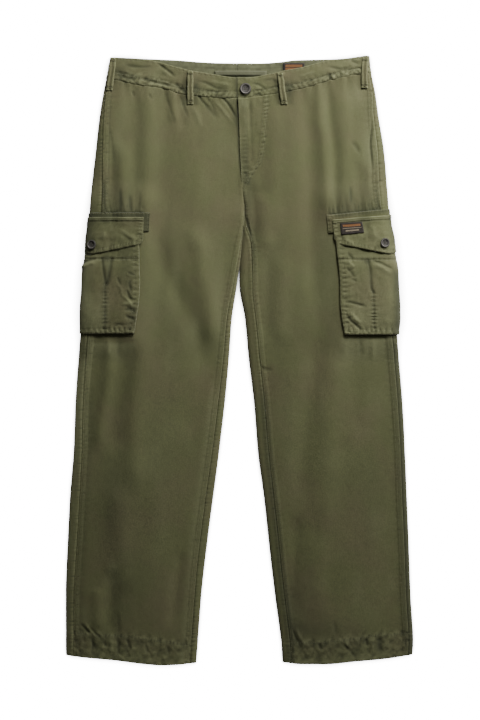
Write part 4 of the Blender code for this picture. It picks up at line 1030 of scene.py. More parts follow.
def pocket_relief(side, arc, down):
    """Cargo pocket's outer surface off the leg: filled out, with its pleat, its band and its sewn edges."""
    arc, down = grids(arc, down)
    right, sizes, strength = side == "right", CARGO[side], sizes_now().gathers
    x = ring(side, arc, down)[..., 0]
    seed = 90 if right else 95
    front = pocket_arc(side, down)
    from_front, from_back = front - arc, arc - 2 * POCKET_CENTRE + front
    from_bottom, from_top = sizes["pocket_bottom"] - down, down - sizes["pocket_top"]

    out_of_flap = after(down, sizes["flap_point"] + FLAP_CLEAR, POCKET_EASE)
    full = POCKET_UNDER_FLAP + (POCKET_FULL - POCKET_UNDER_FLAP) * out_of_flap
    sides = eased(from_front / POCKET_EASE) * eased(from_back / POCKET_EASE) * eased(from_top / POCKET_EASE)
    rise = sides * eased(from_bottom / 30 + 0.15)
    away = POCKET_SEWN + (full - POCKET_SEWN) * rise
    if right:
        away = away + 0.5 * bell(arc - 30, 15) * sides * eased(from_bottom / 20)
        away = away + (1.8 * bell(down - 378, 30) - 2.6 * after(down, 445, 40)) * bell(arc, 22) * sides
    else:
        away = away + 2 * bell(down - 455, 26) * bell(arc, 22) * sides

    on_front = (arc > 0).astype(float)
    small = fold_relief(POCKET_WRINKLES, x, down, 0.3) * sizes_now().creases * on_front
    unrest = (0.35 * soft_noise(x / 15, down / 19, seed)
              + 0.22 * soft_noise((x + 0.6 * down) / 6, (down - 0.6 * x) / 9, seed + 1)) * rise
    # painted: the wrinkles' crests paler and their troughs darker, as painted light and shade; painted light
    # over the right pocket's part round the side fold, over the left pocket and along each bottom edge
    cloth = Relief(small * eased(from_front / 3) + unrest,
                   0.35 * crest(small) + 0.12 * eased(soft_noise(x / 13, down / 17, seed + 20))
                   + (0.9 * before(arc, 6, 24) if right else 0.2 + 0.25 * bell(from_bottom - 30, 30))
                   + 0.5 * bell(from_bottom - 5, 5), 0.65 * np.clip(-small, 0, 1.3))
    cloth.ripple(beads(down + 0.35 * from_front, 15, seed + 31), bell(from_front - 17, 9),
                 0.5 * after(from_top, 20, 20), 0.2, 0.35)
    for distance, along, turn in ((from_front, down, 0), (from_back, down, 3), (from_bottom, x, 6)):
        first = beads(along, 7.4, seed + turn)
        second = beads(along + 0.5 * first, 9.2, seed + turn + 1)
        cloth.ripple(first, bell(distance - 1.6, 2.6), 0.55 * strength * eased(distance / 1.5), 0.7, 0.7)
        cloth.ripple(second, bell(distance - 8.5, 4.2), 1.05 * strength, 0.6, 0.8)
        rows = bell(distance - 1.8, 0.9) + bell(distance - 9, 1)
        cloth.add(1, -0.35 * rows, 0.22 * bell(distance, 1.2))

    band = down - sizes["band_seam"] - 0.8 * soft_noise(x / 16, 0.5, seed + 15)
    row = beads(x, 9, seed + 9)
    cloth.ripple(row, bell(band, 5), 0.3)
    cloth.ripple(row, bell(band, 4), 0, 0.3, 0.4)
    # painted light on the band; painted shade along its seam and over the cloth above it, under the flap
    cloth.add(1, 0.35 * bell(band + 4, 3) - 0.55 * bell(band, 1.2) * eased(from_front / 4),
              0.35 * bell(band - 2.4, 1.4),
              0.5 * bell(band, 1.3) + 0.1 * eased((sizes["band_seam"] - down) / 8 + 0.4))

    # painted light on the right pocket's lower outer part, and painted shade under its flap and along its
    # lower front edge; painted shade where the left pocket turns round the side fold
    if right:
        cloth.add(after(down, 405, 50), 0, 0.6 * before(arc, 40, 14))
        cloth.add(before(down, 400, 40), dark_dye_and_painted_shade=0.34 * bell(from_front - 22, 22))
        cloth.add(after(down, 425, 30), dark_dye_and_painted_shade=0.5 * bell(from_front - 7, 9))
    else:
        cloth.add(after(down, 365, 30), dark_dye_and_painted_shade=before(arc, 6, 16))

    # the pleat lies open at its top and is sewn down below; painted shade lies in and beside its folds and at
    # its top, and its open part is painted paler
    top, end = sizes["pleat_open"]
    from_pleat = (x - smooth_curve(sizes["pleat"], down)) * sign_of(side)
    open_share = after(down, top, 3) * np.clip((end - down) / (end - top), 0, 1) ** 0.8
    sewn_shut = after(down, end - 3, 6) * eased(from_bottom / 12)
    half = sizes["pleat_width"] * (0.12 + 0.88 * open_share)
    one, other = bell(from_pleat - half, 2.6), bell(from_pleat + half, 3.4)
    folds = (one + sizes["pleat_second"] * other) * after(down, top, 4) * before(down, end + 3, 6)
    spread_out = eased((half - np.abs(from_pleat)) / 2) * open_share
    cloth.ripple(beads(down, 7, seed + 12), bell(from_pleat, 5.2) * sewn_shut * on_front, 1.1, 0.7, 1.5)
    cloth.add(on_front, 0.5 * spread_out - folds - 0.6 * bell(from_pleat, 2.4) * sewn_shut, 0.35 * spread_out,
              0.35 * right * bell(from_pleat, 8) + 0.6 * bell(down - top - 4, 5) * bell(from_pleat, 9)
              + 0.6 * folds + 0.4 * bell(from_pleat, 3.4) * sewn_shut)
    edge = turned_in(from_front) * turned_in(from_back) * turned_in(from_bottom)
    return (away + cloth.height * eased(from_top / 14)) * edge + 0.05, cloth.worn_and_painted_light, cloth.dark_dye_and_painted_shade


def flap_away(side, arc, down):
    """How far the flap's outer surface stands off the leg."""
    front = pocket_arc(side, down) + CARGO[side]["flap_beyond"]
    back = 2 * POCKET_CENTRE - front
    rise = after(down, FLAP_RISE[0], FLAP_RISE[1] - FLAP_RISE[0])
    rise = rise * after(front, arc, POCKET_EASE) * after(arc, back, POCKET_EASE)
    return FLAP_LEAST + (FLAP_MOST - FLAP_LEAST) * rise


def flap_edges(side, arc):
    """Down of the flap's top and bottom edges at an arc."""
    sizes = CARGO[side]
    pocket_front = pocket_arc(side, sizes["pocket_top"])
    share = np.clip(np.asarray(arc) / pocket_front, 0, 1)
    top = sizes["flap_top"][1] + (sizes["flap_top"][0] - sizes["flap_top"][1]) * share
    reach = pocket_front + sizes["flap_beyond"] - POCKET_CENTRE
    from_point = np.clip(np.abs(arc - POCKET_CENTRE) / reach, 0, 1)
    bottom = sizes["flap_point"] + (sizes["flap_corner"] - sizes["flap_point"]) * from_point
    corner = np.clip((from_point - 0.9) / 0.1, 0, 1)
    return top, bottom - FLAP_ROUNDING * (1 - np.sqrt(1 - corner ** 2))


def flap_relief(side, arc, down):
    """Flap: its sewn top band, the topstitched border and a few wrinkles."""
    arc, down = grids(arc, down)
    right, strength = side == "right", sizes_now().gathers
    x = ring(side, arc, down)[..., 0]
    seed = 110 if right else 115
    top, bottom = flap_edges(side, arc)
    from_top, from_bottom = down - top, bottom - down
    from_front = pocket_arc(side, down) + CARGO[side]["flap_beyond"] - arc
    small = fold_relief(FLAP_WRINKLES, x, down, 0.3) * sizes_now().creases * (arc > 0)
    ripple = soft_noise(x / 15, 0.5, seed + 7)
    top_band = (0.6 * bell(from_top - 1.8, 1.2) + 0.45 * bell(from_top - 5, 1.2)
                - 0.3 * bell(from_top - 3.4, 0.7) - 0.6 * bell(from_top - 7, 1.2)
                + 0.2 * ripple * bell(from_top - 3, 4))
    # painted: the top band's ridges and the wrinkles' crests paler, as wear and painted light; painted shade
    # in its grooves, in the wrinkles and near its top over the pleat
    cloth = Relief(flap_away(side, arc, down) + small + top_band + 0.6 * soft_noise(x / 12, down / 11, seed)
                   + 0.32 * soft_noise((x + down) / 6, (down - x) / 9, seed + 9),
                   0.9 * bell(from_top - 1.8, 1.2) + 0.8 * bell(from_top - 5, 1.1) * (0.75 + 0.25 * ripple)
                   + 0.3 * crest(small) + 0.15 * eased(soft_noise(x / 9, down / 9, seed + 8)),
                   0.35 * bell(from_top - 3.4, 0.7) + 0.6 * bell(from_top - 7.2, 1.2) + 0.5 * dip(small)
                   + 0.5 * bell(x - (-233 if right else 218), 15) * bell(from_top - 2, 9))
    # painted shade over the right flap, most towards its back end, and painted light past its back edge;
    # painted light over the left flap, most low in its middle, and painted shade high at its back end
    if right:
        cloth.add(1, 0, 0.4 * before(arc, -2, 9), 0.24 + 0.3 * before(arc, 6, 20))
    else:
        cloth.add(1, 0, 0.15 + 0.3 * bell(arc - 22, 12) * after(down, 318, 10),
                  0.7 * before(arc, 4, 12) * before(down, 330, 12))
    for distance, along in ((from_bottom, x), (from_front, down)):
        cloth.ripple(beads(along, 6.4, seed + 3), bell(distance - 4.6, 3.6), 0.75 * strength, 0.75, 0.95)
        cloth.ripple(gathers(along, 15, seed + 4), bell(distance - 9, 5), 0.3 * strength, 0, 0.25)
        cloth.add(1, -0.25 * bell(distance - 6.5, 0.9), 0.4 * bell(distance, 1.3))
    return cloth.height, cloth.worn_and_painted_light, cloth.dark_dye_and_painted_shade


def stay_edges(side, arc):
    top = level_at(CARGO[side]["stay_top"], arc)
    return top, top + CARGO[side]["stay_depth"]


def stay_relief(side, arc, down):
    """Strip behind the flap, sewn along its top and its front end."""
    arc, down = grids(arc, down)
    x = ring(side, arc, down)[..., 0]
    from_front = pocket_arc(side, down) + CARGO[side]["stay_beyond"] - arc
    from_top = down - stay_edges(side, arc)[0]
    # painted: a pale front end; painted shade along its rows and along its top edge, where it meets the leg
    cloth = Relief(STAY_AWAY * eased(from_top / 2.5 + 0.2)
                   - 0.3 * (bell(from_top - 2.4, 0.9) + bell(from_front - 2.4, 0.9)),
                   0.25 * bell(from_front, 1.2),
                   0.3 * bell(from_top - 2.4, 1) + 0.4 * bell(from_front - 2.4, 1)
                   + 0.7 * bell(from_top, 8) * after(from_front, 6, 16))
    # the right stay is painted darker all over, most just below its top edge and towards its back end
    if side == "right":
        cloth.add(1, dark_dye_and_painted_shade=0.9 + 0.6 * bell(from_top - 6, 3) + 0.6 * bell(x + 233, 14))
    wave, upright = beads(x, 7, 130), beads(down, 6.5, 131)
    cloth.ripple(wave, bell(from_top, 6), 0.9)
    cloth.ripple(wave, bell(from_top - 2, 3), 0, 0.5)
    cloth.ripple(wave, bell(from_top, 4), 0, 0, 0.6)
    cloth.ripple(upright, bell(from_front - 2.5, 4), 0.7)
    cloth.ripple(upright, bell(from_front - 2, 4), 0, 0.6, 0.7)
    return cloth.height, cloth.worn_and_painted_light, cloth.dark_dye_and_painted_shade


# ---- making meshes ----

def material_called(name):
    return bpy.data.materials[name]


def settle(thing, nodes, body=BODY):
    """Hang a finished piece on its body, in place of the nodes that it stands for."""
    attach(thing, body)
    if nodes:
        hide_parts(*nodes)
    return thing


def new_object(name, mesh):
    thing = bpy.data.objects.new(name, mesh)
    bpy.context.scene.collection.objects.link(thing)
    return thing


def cloth_piece(name, points, outward, flat_places, worn_and_painted_light, dark_dye_and_painted_shade, thickness, finishes):
    """A wall of cloth through a grid of points in mm: a mesh with its UV map, its wear with painted light and
    its painted shade, thickened inwards.
    """
    rows, columns = points.shape[:2]
    index = np.arange(rows * columns).reshape(rows, columns)
    faces = np.stack([index[:-1, :-1], index[:-1, 1:], index[1:, 1:], index[1:, :-1]], axis=-1)
    across = points[:-1, 1:] - points[:-1, :-1]
    along = points[1:, :-1] - points[:-1, :-1]
    if (np.cross(across, along) * outward[:-1, :-1]).sum() < 0:
        faces = faces[..., ::-1]
    faces = faces.reshape(-1, 4)
    mesh = bpy.data.meshes.new(name)
    mesh.from_pydata((points.reshape(-1, 3) * MM).tolist(), [], faces.tolist())
    layer = mesh.uv_layers.new(name="cloth")
    corners = np.zeros(len(mesh.loops), dtype=np.int32)
    mesh.loops.foreach_get("vertex_index", corners)
    layer.data.foreach_set("uv", (flat_places.reshape(-1, 2)[corners] * MM).ravel().astype(np.float32))
    for label, values in (("worn_and_painted_light", worn_and_painted_light), ("dark_dye_and_painted_shade", dark_dye_and_painted_shade)):
        attribute = mesh.attributes.new(label, "FLOAT", "POINT")
        attribute.data.foreach_set("value", crest(values).ravel().astype(np.float32))
    mesh.shade_smooth()
    for finish in finishes:
        mesh.materials.append(material_called(finish))
    thing = new_object(name, mesh)
    wall = thing.modifiers.new("wall", "SOLIDIFY")
    wall.thickness = thickness
    wall.offset = -1.0
    wall.material_offset = len(finishes) - 1
    return thing


def spread(fine, coarse, length, fine_length):
    """Shares from 0 to 1 along a length: fine steps near both ends, coarse ones between."""
    places, at = [0.0], 0.0
    while at < length:
        edge = min(at, length - at)
        at += fine + (coarse - fine) * float(eased((edge - fine_length * 0.5) / fine_length))
        places.append(at)
    return np.array(places) / places[-1]


def cut(arc, down):
    """Width, length and area of the flat cut of a patch of the ring, in metres."""
    widths = np.abs(arc[:, -1] - arc[:, 0])
    lengths = np.abs(down[-1] - down[0])
    width, length = widths.max() * MM, lengths.max() * MM
    area = widths.mean() * lengths.mean() * MM * MM
    return (width, length), min(area, width * length)


def lay_patch(part, side, arc, down, relief, thickness):
    """Make a patch of cotton that stands for one node, in place of that node's part, and work out its flat
    cut.
    """
    piece = patch(part + "_" + side + "_cloth", side, arc, down, relief, thickness, LINED)
    settle(piece, [part + "_" + side])
    flat, area = cut(arc, down)


def edge_down(side, arc_at, front_edge, back_edge, columns):
    """Where each column meets an edge that is given by x and down."""
    down = np.full(columns, 50.0)
    for _ in range(6):
        arc = arc_at(down)
        x = ring(side, arc, down)[..., 0]
        down = np.where(arc > 0, smooth_curve(front_edge, x), smooth_curve(back_edge, x))
    return down


def panel_grid(side, arc_at, shares):
    """Arcs and distances down of a leg panel's points, from the waist seam to the hem."""
    count = len(shares)
    first = edge_down(side, lambda d: arc_at(d, shares), FRONT_WAIST_SEAM, BACK_WAIST_SEAM, count) - TUCK
    last = edge_down(side, lambda d: arc_at(d, shares), HEM, HEM, count)
    level = spread(1.6, 2.5, 1005, 45) * (1076 - 70) + 70
    down = np.repeat(level[:, None], count, axis=1)
    by_seam = 1 - after(down, 70, 170)
    by_hem = after(down, 1000, 76)
    down = down + (first - 70) * by_seam + (last - 1076) * by_hem
    arc = np.stack([arc_at(down[:, i], shares[i]) for i in range(count)], axis=1)
    return arc, down


def front_arc(side):
    def at(down, share):
        seam = outseam_arc(side, down) + SEAM_GAP / 2
        return seam + (inner_arc(side, down, True) - seam) * share
    return at


def back_arc(side):
    """Share 0 to 1 goes round the side fold, 1 to 2 underneath and 2 to 3 round the inner fold."""
    def at(down, share):
        sizes = section(side, down)
        leg = eased((down - CROTCH) / 6 + 0.5)
        seam = outseam_arc(side, down) + SEAM_TUCK
        under = -sizes["outer_quarter"]
        far = under - sizes["width"]
        end = inner_arc(side, down, False) - SEAM_TUCK * leg
        share = np.asarray(share, float)
        first = seam + (under - seam) * share
        second = under + (far - under) * (share - 1)
        third = far + (end - far) * (share - 2)
        return np.where(share < 1, first, np.where(share < 2, second, third))
    return at


def patch(name, side, arc, down, relief, thickness, finishes):
    """A piece of cloth that follows the ring with its relief."""
    height, worn_and_painted_light, dark_dye_and_painted_shade = relief(side, arc, down)
    outward = normals(side, arc, down)
    points = ring(side, arc, down) + outward * height[..., None]
    if relief in (front_relief, band_relief) and side == "right":
        # the right half runs on under the left half, down to the crotch
        inner = inner_arc(side, down, True) - arc
        lapped = eased((3.0 - inner) / 3) * before(down, CROTCH - 16, 12)
        points[..., 0] += LAP * lapped
    points[..., 2] = np.maximum(points[..., 2], 0.0)
    flat_places = np.stack([arc, -down], axis=-1)
    return cloth_piece(name, points, outward, flat_places, worn_and_painted_light, dark_dye_and_painted_shade, thickness, finishes)


# ---- sewing ----

PATHS = {"legs": [], "waist": [], "pockets": [], "flaps": [], "tacks": []}


def sewn(group, side, arc, down, relief, lift=0.12):
    """Lay a row of sewing on a piece."""
    arc, down = grids(arc, down)
    height, _worn_and_painted_light, _dark_dye_and_painted_shade = relief(side, arc, down)
    PATHS[group].append(off_ring(side, arc, down, height + lift))


def tack(side, arc, down, length, width, relief, along=True):
    """A bar tack: a dense zigzag."""
    count = max(6, int(length / 0.9))
    t = np.linspace(-0.5, 0.5, count) * length
    swing = np.where(np.arange(count) % 2 == 0, -0.5, 0.5) * width
    if along:
        arcs, downs = arc + swing, down + t
    else:
        arcs, downs = arc + t, down + swing
    height, _worn_and_painted_light, _dark_dye_and_painted_shade = relief(side, arcs, downs)
    PATHS["tacks"].append(off_ring(side, arcs, downs, height + 0.25))


def socket(tree, name, kind, default=None, direction="INPUT", subtype=None):
    made = tree.interface.new_socket(name=name, in_out=direction, socket_type=kind)
    if default is not None:
        made.default_value = default
    if subtype:
        made.subtype = subtype
    return made


def stitch_tree():
    """Geometry nodes: short threads set end to end along paths."""
    tree = bpy.data.node_groups.new("Running stitch", "GeometryNodeTree")
    socket(tree, "Geometry", "NodeSocketGeometry")
    for name, default in (("Stitch", 0.0026), ("Gap", 0.0007), ("Thread", 0.0006)):
        socket(tree, name, "NodeSocketFloat", default, subtype="DISTANCE")
    socket(tree, "Unevenness", "NodeSocketFloat", 0.12)
    socket(tree, "Seed", "NodeSocketInt", 7)
    socket(tree, "Material", "NodeSocketMaterial")
    socket(tree, "Geometry", "NodeSocketGeometry", direction="OUTPUT")
    given, result = node(tree, "NodeGroupInput"), node(tree, "NodeGroupOutput")
    curve = node(tree, "GeometryNodeMeshToCurve")
    resample = node(tree, "GeometryNodeResampleCurve", mode="LENGTH")
    pitch = node(tree, "ShaderNodeMath", operation="ADD")
    tangent = node(tree, "GeometryNodeInputTangent")
    turn = node(tree, "FunctionNodeAlignRotationToVector", axis="X")
    loose = node(tree, "FunctionNodeRandomValue", data_type="FLOAT_VECTOR")
    most = node(tree, "ShaderNodeCombineXYZ")
    least = node(tree, "ShaderNodeVectorMath", {"Scale": -1.0}, operation="SCALE")
    tilted = node(tree, "ShaderNodeVectorMath", operation="ADD")
    bead = node(tree, "GeometryNodeMeshUVSphere", {"Segments": 6, "Rings": 3, "Radius": 0.5})
    size = node(tree, "ShaderNodeCombineXYZ")
    shaped = node(tree, "GeometryNodeTransform")
    instances = node(tree, "GeometryNodeInstanceOnPoints")
    realize = node(tree, "GeometryNodeRealizeInstances")
    smooth = node(tree, "GeometryNodeSetShadeSmooth")
    finish = node(tree, "GeometryNodeSetMaterial")
    for start, out, end, to in (
            (given, "Geometry", curve, "Mesh"), (curve, "Curve", resample, "Curve"),
            (given, "Stitch", pitch, 0), (given, "Gap", pitch, 1), (pitch, 0, resample, "Length"),
            (given, "Unevenness", most, "X"), (given, "Unevenness", most, "Y"),
            (given, "Unevenness", most, "Z"), (most, 0, loose, "Max"), (most, 0, least, 0),
            (least, 0, loose, "Min"),
            (given, "Seed", loose, "Seed"), (tangent, 0, tilted, 0), (loose, "Value", tilted, 1),
            (tilted, 0, turn, "Vector"), (given, "Stitch", size, "X"),
            (given, "Thread", size, "Y"), (given, "Thread", size, "Z"), (bead, "Mesh", shaped, "Geometry"),
            (size, 0, shaped, "Scale"), (resample, "Curve", instances, "Points"),
            (shaped, "Geometry", instances, "Instance"), (turn, "Rotation", instances, "Rotation"),
            (instances, "Instances", realize, "Geometry"), (realize, "Geometry", smooth, "Geometry"),
            (smooth, "Geometry", finish, "Geometry"), (given, "Material", finish, "Material"),
            (finish, "Geometry", result, "Geometry")):
        tree.links.new(start.outputs[out], end.inputs[to])
    return tree


def set_input(modifier, name, value):
    """Set a modifier's input by its socket's identifier."""
    found = [item for item in modifier.node_group.interface.items_tree
             if item.item_type == "SOCKET" and item.in_out == "INPUT" and item.name == name]
    modifier[found[0].identifier] = value


def plain_mesh(name, *things):
    """The first thing's mesh with its modifiers applied; the things themselves go."""
    made = bpy.data.meshes.new_from_object(things[0].evaluated_get(bpy.context.evaluated_depsgraph_get()))
    for old in things:
        old.modifiers.clear()
        data = old.data
        bpy.data.objects.remove(old, do_unlink=True)
        bpy.data.meshes.remove(data)
    made.name = name
    return made


def thread_piece(name, paths, finish, stitch, gap, thickness, seed, unevenness=0.12):
    """One plain mesh with the sewing along the paths, given in mm."""
    points, edges = [], []
    for path in paths:
        start = len(points)
        laid = np.array(path, float).reshape(-1, 3)
        laid[:, 2] = np.maximum(laid[:, 2], 0.5)          # on the floor, not in it
        points.extend((laid * MM).tolist())
        edges.extend((i, i + 1) for i in range(start, len(points) - 1))
    mesh = bpy.data.meshes.new(name + "_path")
    mesh.from_pydata(points, edges, [])
    source = new_object(name + "_path", mesh)
    modifier = source.modifiers.new("stitches", "NODES")
    modifier.node_group = bpy.data.node_groups["Running stitch"]
    for label, value in (("Stitch", stitch), ("Gap", gap), ("Thread", thickness), ("Unevenness", unevenness),
                         ("Seed", seed), ("Material", material_called(finish))):
        set_input(modifier, label, value)
    return settle(new_object(name, plain_mesh(name, source)), [])


# ---- finishes ----

def link(source, target):
    target.id_data.links.new(source, target)


def node(tree, kind, values=None, **settings):
    """A new node with its settings and the values of its inputs."""
    made = tree.nodes.new(kind)
    for key, value in settings.items():
        setattr(made, key, value)
    for key, value in (values or {}).items():
        made.inputs[key].default_value = value
    return made


def maths(tree, operation, one, two=None, clamp=False):
    """A Math node on two sockets or numbers; returns its output."""
    made = node(tree, "ShaderNodeMath", operation=operation, use_clamp=clamp)
    for place_in, value in enumerate((one, two)):
        if isinstance(value, bpy.types.NodeSocket):
            link(value, made.inputs[place_in])
        elif value is not None:
            made.inputs[place_in].default_value = value
    return made.outputs[0]


def weighted(tree, base, *terms):
    """A number plus each value times its weight."""
    total = None
    for value, weight in terms:
        term = maths(tree, "MULTIPLY", value, weight)
        total = maths(tree, "ADD", total, term) if total else term
    return maths(tree, "ADD", total, base) if base else total


def blend_colour(tree, share, one, two, mode="MIX"):
    made = node(tree, "ShaderNodeMix", data_type="RGBA", blend_type=mode)
    for name, value in (("Factor_Float", share), ("A_Color", one), ("B_Color", two)):
        target = next(s for s in made.inputs if s.identifier == name)
        if isinstance(value, bpy.types.NodeSocket):
            link(value, target)
        else:
            target.default_value = value
    return next(s for s in made.outputs if s.identifier == "Result_Color")


def noise_on(tree, vector, scale, detail=2.0, roughness=0.5, stretch=None):
    if stretch:
        mapping = node(tree, "ShaderNodeMapping", {"Scale": stretch})
        link(vector, mapping.inputs["Vector"])
        vector = mapping.outputs[0]
    made = node(tree, "ShaderNodeTexNoise", {"Scale": scale, "Detail": detail, "Roughness": roughness})
    link(vector, made.inputs["Vector"])
    return made.outputs["Fac"]


def washed_cotton_group():
    """Plain-woven cotton, dyed and washed: uneven colour, edges faded by wear and by painted light, creases
    painted dark as shade, and its yarns' relief.
    """
    tree = bpy.data.node_groups.new("Washed cotton", "ShaderNodeTree")
    socket(tree, "Flat place", "NodeSocketVector")
    for name, default in (("Dye", (0.1, 0.1, 0.05, 1)), ("Cast", (0.12, 0.1, 0.05, 1)),
                          ("Faded and painted light", (0.2, 0.2, 0.1, 1)), ("Dark dye and painted shade", (0.05, 0.05, 0.02, 1))):
        socket(tree, name, "NodeSocketColor", default)
    for name, default in (("Worn and painted light mask", 0.0), ("Painted shade and dark dye mask", 0.0), ("Yarn pitch", 0.0007)):
        socket(tree, name, "NodeSocketFloat", default)
    socket(tree, "Colour", "NodeSocketColor", direction="OUTPUT")
    socket(tree, "Roughness", "NodeSocketFloat", direction="OUTPUT")
    socket(tree, "Height", "NodeSocketFloat", direction="OUTPUT")
    given, result = node(tree, "NodeGroupInput").outputs, node(tree, "NodeGroupOutput").inputs
    flat = given["Flat place"]
    parts = node(tree, "ShaderNodeSeparateXYZ")
    link(flat, parts.inputs[0])
    turns = maths(tree, "DIVIDE", 2 * math.pi, given["Yarn pitch"])
    warp, weft = (maths(tree, "SINE", maths(tree, "MULTIPLY", parts.outputs[axis], turns)) for axis in "XY")
    crossing = maths(tree, "MULTIPLY", warp, weft)
    slub = noise_on(tree, flat, 1.0, 3.0, 0.6, (900.0, 110.0, 1.0))
    slub_weft = noise_on(tree, flat, 1.0, 3.0, 0.6, (110.0, 800.0, 1.0))
    yarns = maths(tree, "ADD", slub, slub_weft)
    crumple = noise_on(tree, flat, 130.0, 3.0, 0.55)
    clouds = noise_on(tree, flat, 9.0, 3.0, 0.6)
    patches = noise_on(tree, flat, 34.0, 3.0, 0.6)
    streaks = noise_on(tree, flat, 1.0, 2.0, 0.5, (60.0, 7.0, 1.0))

    cloud_share = maths(tree, "MULTIPLY", maths(tree, "SUBTRACT", clouds, 0.42), 3.2, clamp=True)
    colour = blend_colour(tree, cloud_share, given["Dye"], given["Cast"])
    level = weighted(tree, 0.74, (patches, 0.16), (streaks, 0.12), (yarns, 0.12), (crossing, 0.045))
    grey = node(tree, "ShaderNodeCombineColor")
    for channel in ("Red", "Green", "Blue"):
        link(level, grey.inputs[channel])
    colour = blend_colour(tree, 1.0, colour, grey.outputs[0], "MULTIPLY")
    # wear and painted light: towards the faded colour
    rub_and_painted_light = maths(tree, "MULTIPLY", given["Worn and painted light mask"], weighted(tree, 0.25, (yarns, 0.7)), clamp=True)
    colour = blend_colour(tree, rub_and_painted_light, colour, given["Faded and painted light"])
    # painted shade and darker dye: towards the deep colour
    dark = maths(tree, "MULTIPLY", given["Painted shade and dark dye mask"], 0.85, clamp=True)
    link(blend_colour(tree, dark, colour, given["Dark dye and painted shade"]), result["Colour"])
    link(weighted(tree, 0.86, (rub_and_painted_light, -0.08), (patches, 0.08)), result["Roughness"])
    link(weighted(tree, 0, (crossing, 0.18), (yarns, 0.45), (crumple, 0.9)), result["Height"])
    return tree


def new_material(name, roughness=0.9, sheen=0.0, specular=0.35):
    """A material that uses nodes; returns its tree and its shader."""
    made = bpy.data.materials.new(name)
    made.use_nodes = True
    shader = made.node_tree.nodes["Principled BSDF"]
    for label, value in (("Roughness", roughness), ("Metallic", 0.0), ("Specular IOR Level", specular),
                         ("Sheen Weight", sheen), ("Sheen Roughness", 0.6)):
        shader.inputs[label].default_value = value
    return made.node_tree, shader


def flat_place(tree):
    return node(tree, "ShaderNodeUVMap", uv_map="cloth").outputs[0]


def mask(tree, name):
    return node(tree, "ShaderNodeAttribute", attribute_name=name).outputs["Fac"]


def bump(tree, shader, height, distance):
    made = node(tree, "ShaderNodeBump", {"Distance": distance, "Strength": 1.0})
    link(height, made.inputs["Height"])
    link(made.outputs[0], shader.inputs["Normal"])


def cotton_material(name, group, dye, cast, faded_and_painted_light, dark_dye_and_painted_shade):
    tree, shader = new_material(name, sheen=0.12, specular=0.25)
    cloth = node(tree, "ShaderNodeGroup", node_tree=group)
    for label, value in (("Dye", dye), ("Cast", cast), ("Faded and painted light", faded_and_painted_light), ("Dark dye and painted shade", dark_dye_and_painted_shade)):
        cloth.inputs[label].default_value = tuple(value)
    cloth.inputs["Yarn pitch"].default_value = sizes_now().weave
    for source, label in ((flat_place(tree), "Flat place"), (mask(tree, "worn_and_painted_light"), "Worn and painted light mask"),
                          (mask(tree, "dark_dye_and_painted_shade"), "Painted shade and dark dye mask")):
        link(source, cloth.inputs[label])
    link(cloth.outputs["Colour"], shader.inputs["Base Color"])
    link(cloth.outputs["Roughness"], shader.inputs["Roughness"])
    bump(tree, shader, cloth.outputs["Height"], 0.00025)


def thread_material(name, colour):
    tree, shader = new_material(name, 0.7, sheen=0.1)
    where = node(tree, "ShaderNodeTexCoord").outputs["Object"]
    twist = noise_on(tree, where, 2500.0, 2.0)
    fade = noise_on(tree, where, 60.0, 2.0)
    share = weighted(tree, 0, (twist, 0.5), (fade, 0.5))
    dark = tuple(0.6 * c for c in colour[:3]) + (1,)
    light = tuple(min(1.0, 1.5 * c) for c in colour[:3]) + (1,)
    link(blend_colour(tree, share, dark, light), shader.inputs["Base Color"])
    bump(tree, shader, twist, 0.0002)


def label_material(name, ground, bars):
    """Woven label: a dark ground with plain bars, each given by its left, right, low and high edges in mm."""
    tree, shader = new_material(name, 0.75, sheen=0.1)
    parts = node(tree, "ShaderNodeSeparateXYZ")
    flat = flat_place(tree)
    link(flat, parts.inputs[0])
    across, up = parts.outputs["X"], parts.outputs["Y"]
    grain = noise_on(tree, flat, 1.0, 2.0, 0.6, (2600.0, 900.0, 1.0))
    colour = blend_colour(tree, weighted(tree, 0, (grain, 0.6)), tuple(ground),
                          tuple(min(1.0, 2.2 * c) for c in ground[:3]) + (1,))
    for left, right, low, high, tint in bars:
        inside = 1.0
        for place_on, side_of, edge in ((across, "GREATER_THAN", left), (across, "LESS_THAN", right),
                                        (up, "GREATER_THAN", low), (up, "LESS_THAN", high)):
            inside = maths(tree, "MULTIPLY", inside, maths(tree, side_of, place_on, edge * MM))
        inside = maths(tree, "MULTIPLY", inside, weighted(tree, 0.4, (grain, 0.9)), clamp=True)
        colour = blend_colour(tree, inside, colour, tuple(tint))
    link(colour, shader.inputs["Base Color"])
    ribs = maths(tree, "SINE", maths(tree, "MULTIPLY", up, 2 * math.pi / (0.45 * MM)))
    bump(tree, shader, maths(tree, "ADD", ribs, grain), 0.0001)


def button_material(name, body, rim):
    """Horn-like grey button: dark body, a pale rim and centre, partly wear and partly painted light, fine
    turning marks.
    """
    tree, shader = new_material(name, 0.6, specular=0.18)
    where = node(tree, "ShaderNodeTexCoord").outputs["Object"]
    clouds = noise_on(tree, where, 260.0, 3.0, 0.6)
    scratches = noise_on(tree, where, 1400.0, 2.0, 0.6)
    share = maths(tree, "MULTIPLY", mask(tree, "worn_and_painted_light"), weighted(tree, 0.5, (clouds, 0.7)), clamp=True)
    link(blend_colour(tree, share, tuple(body), tuple(rim)), shader.inputs["Base Color"])
    link(weighted(tree, 0.45, (scratches, 0.25)), shader.inputs["Roughness"])
    bump(tree, shader, scratches, 0.00008)


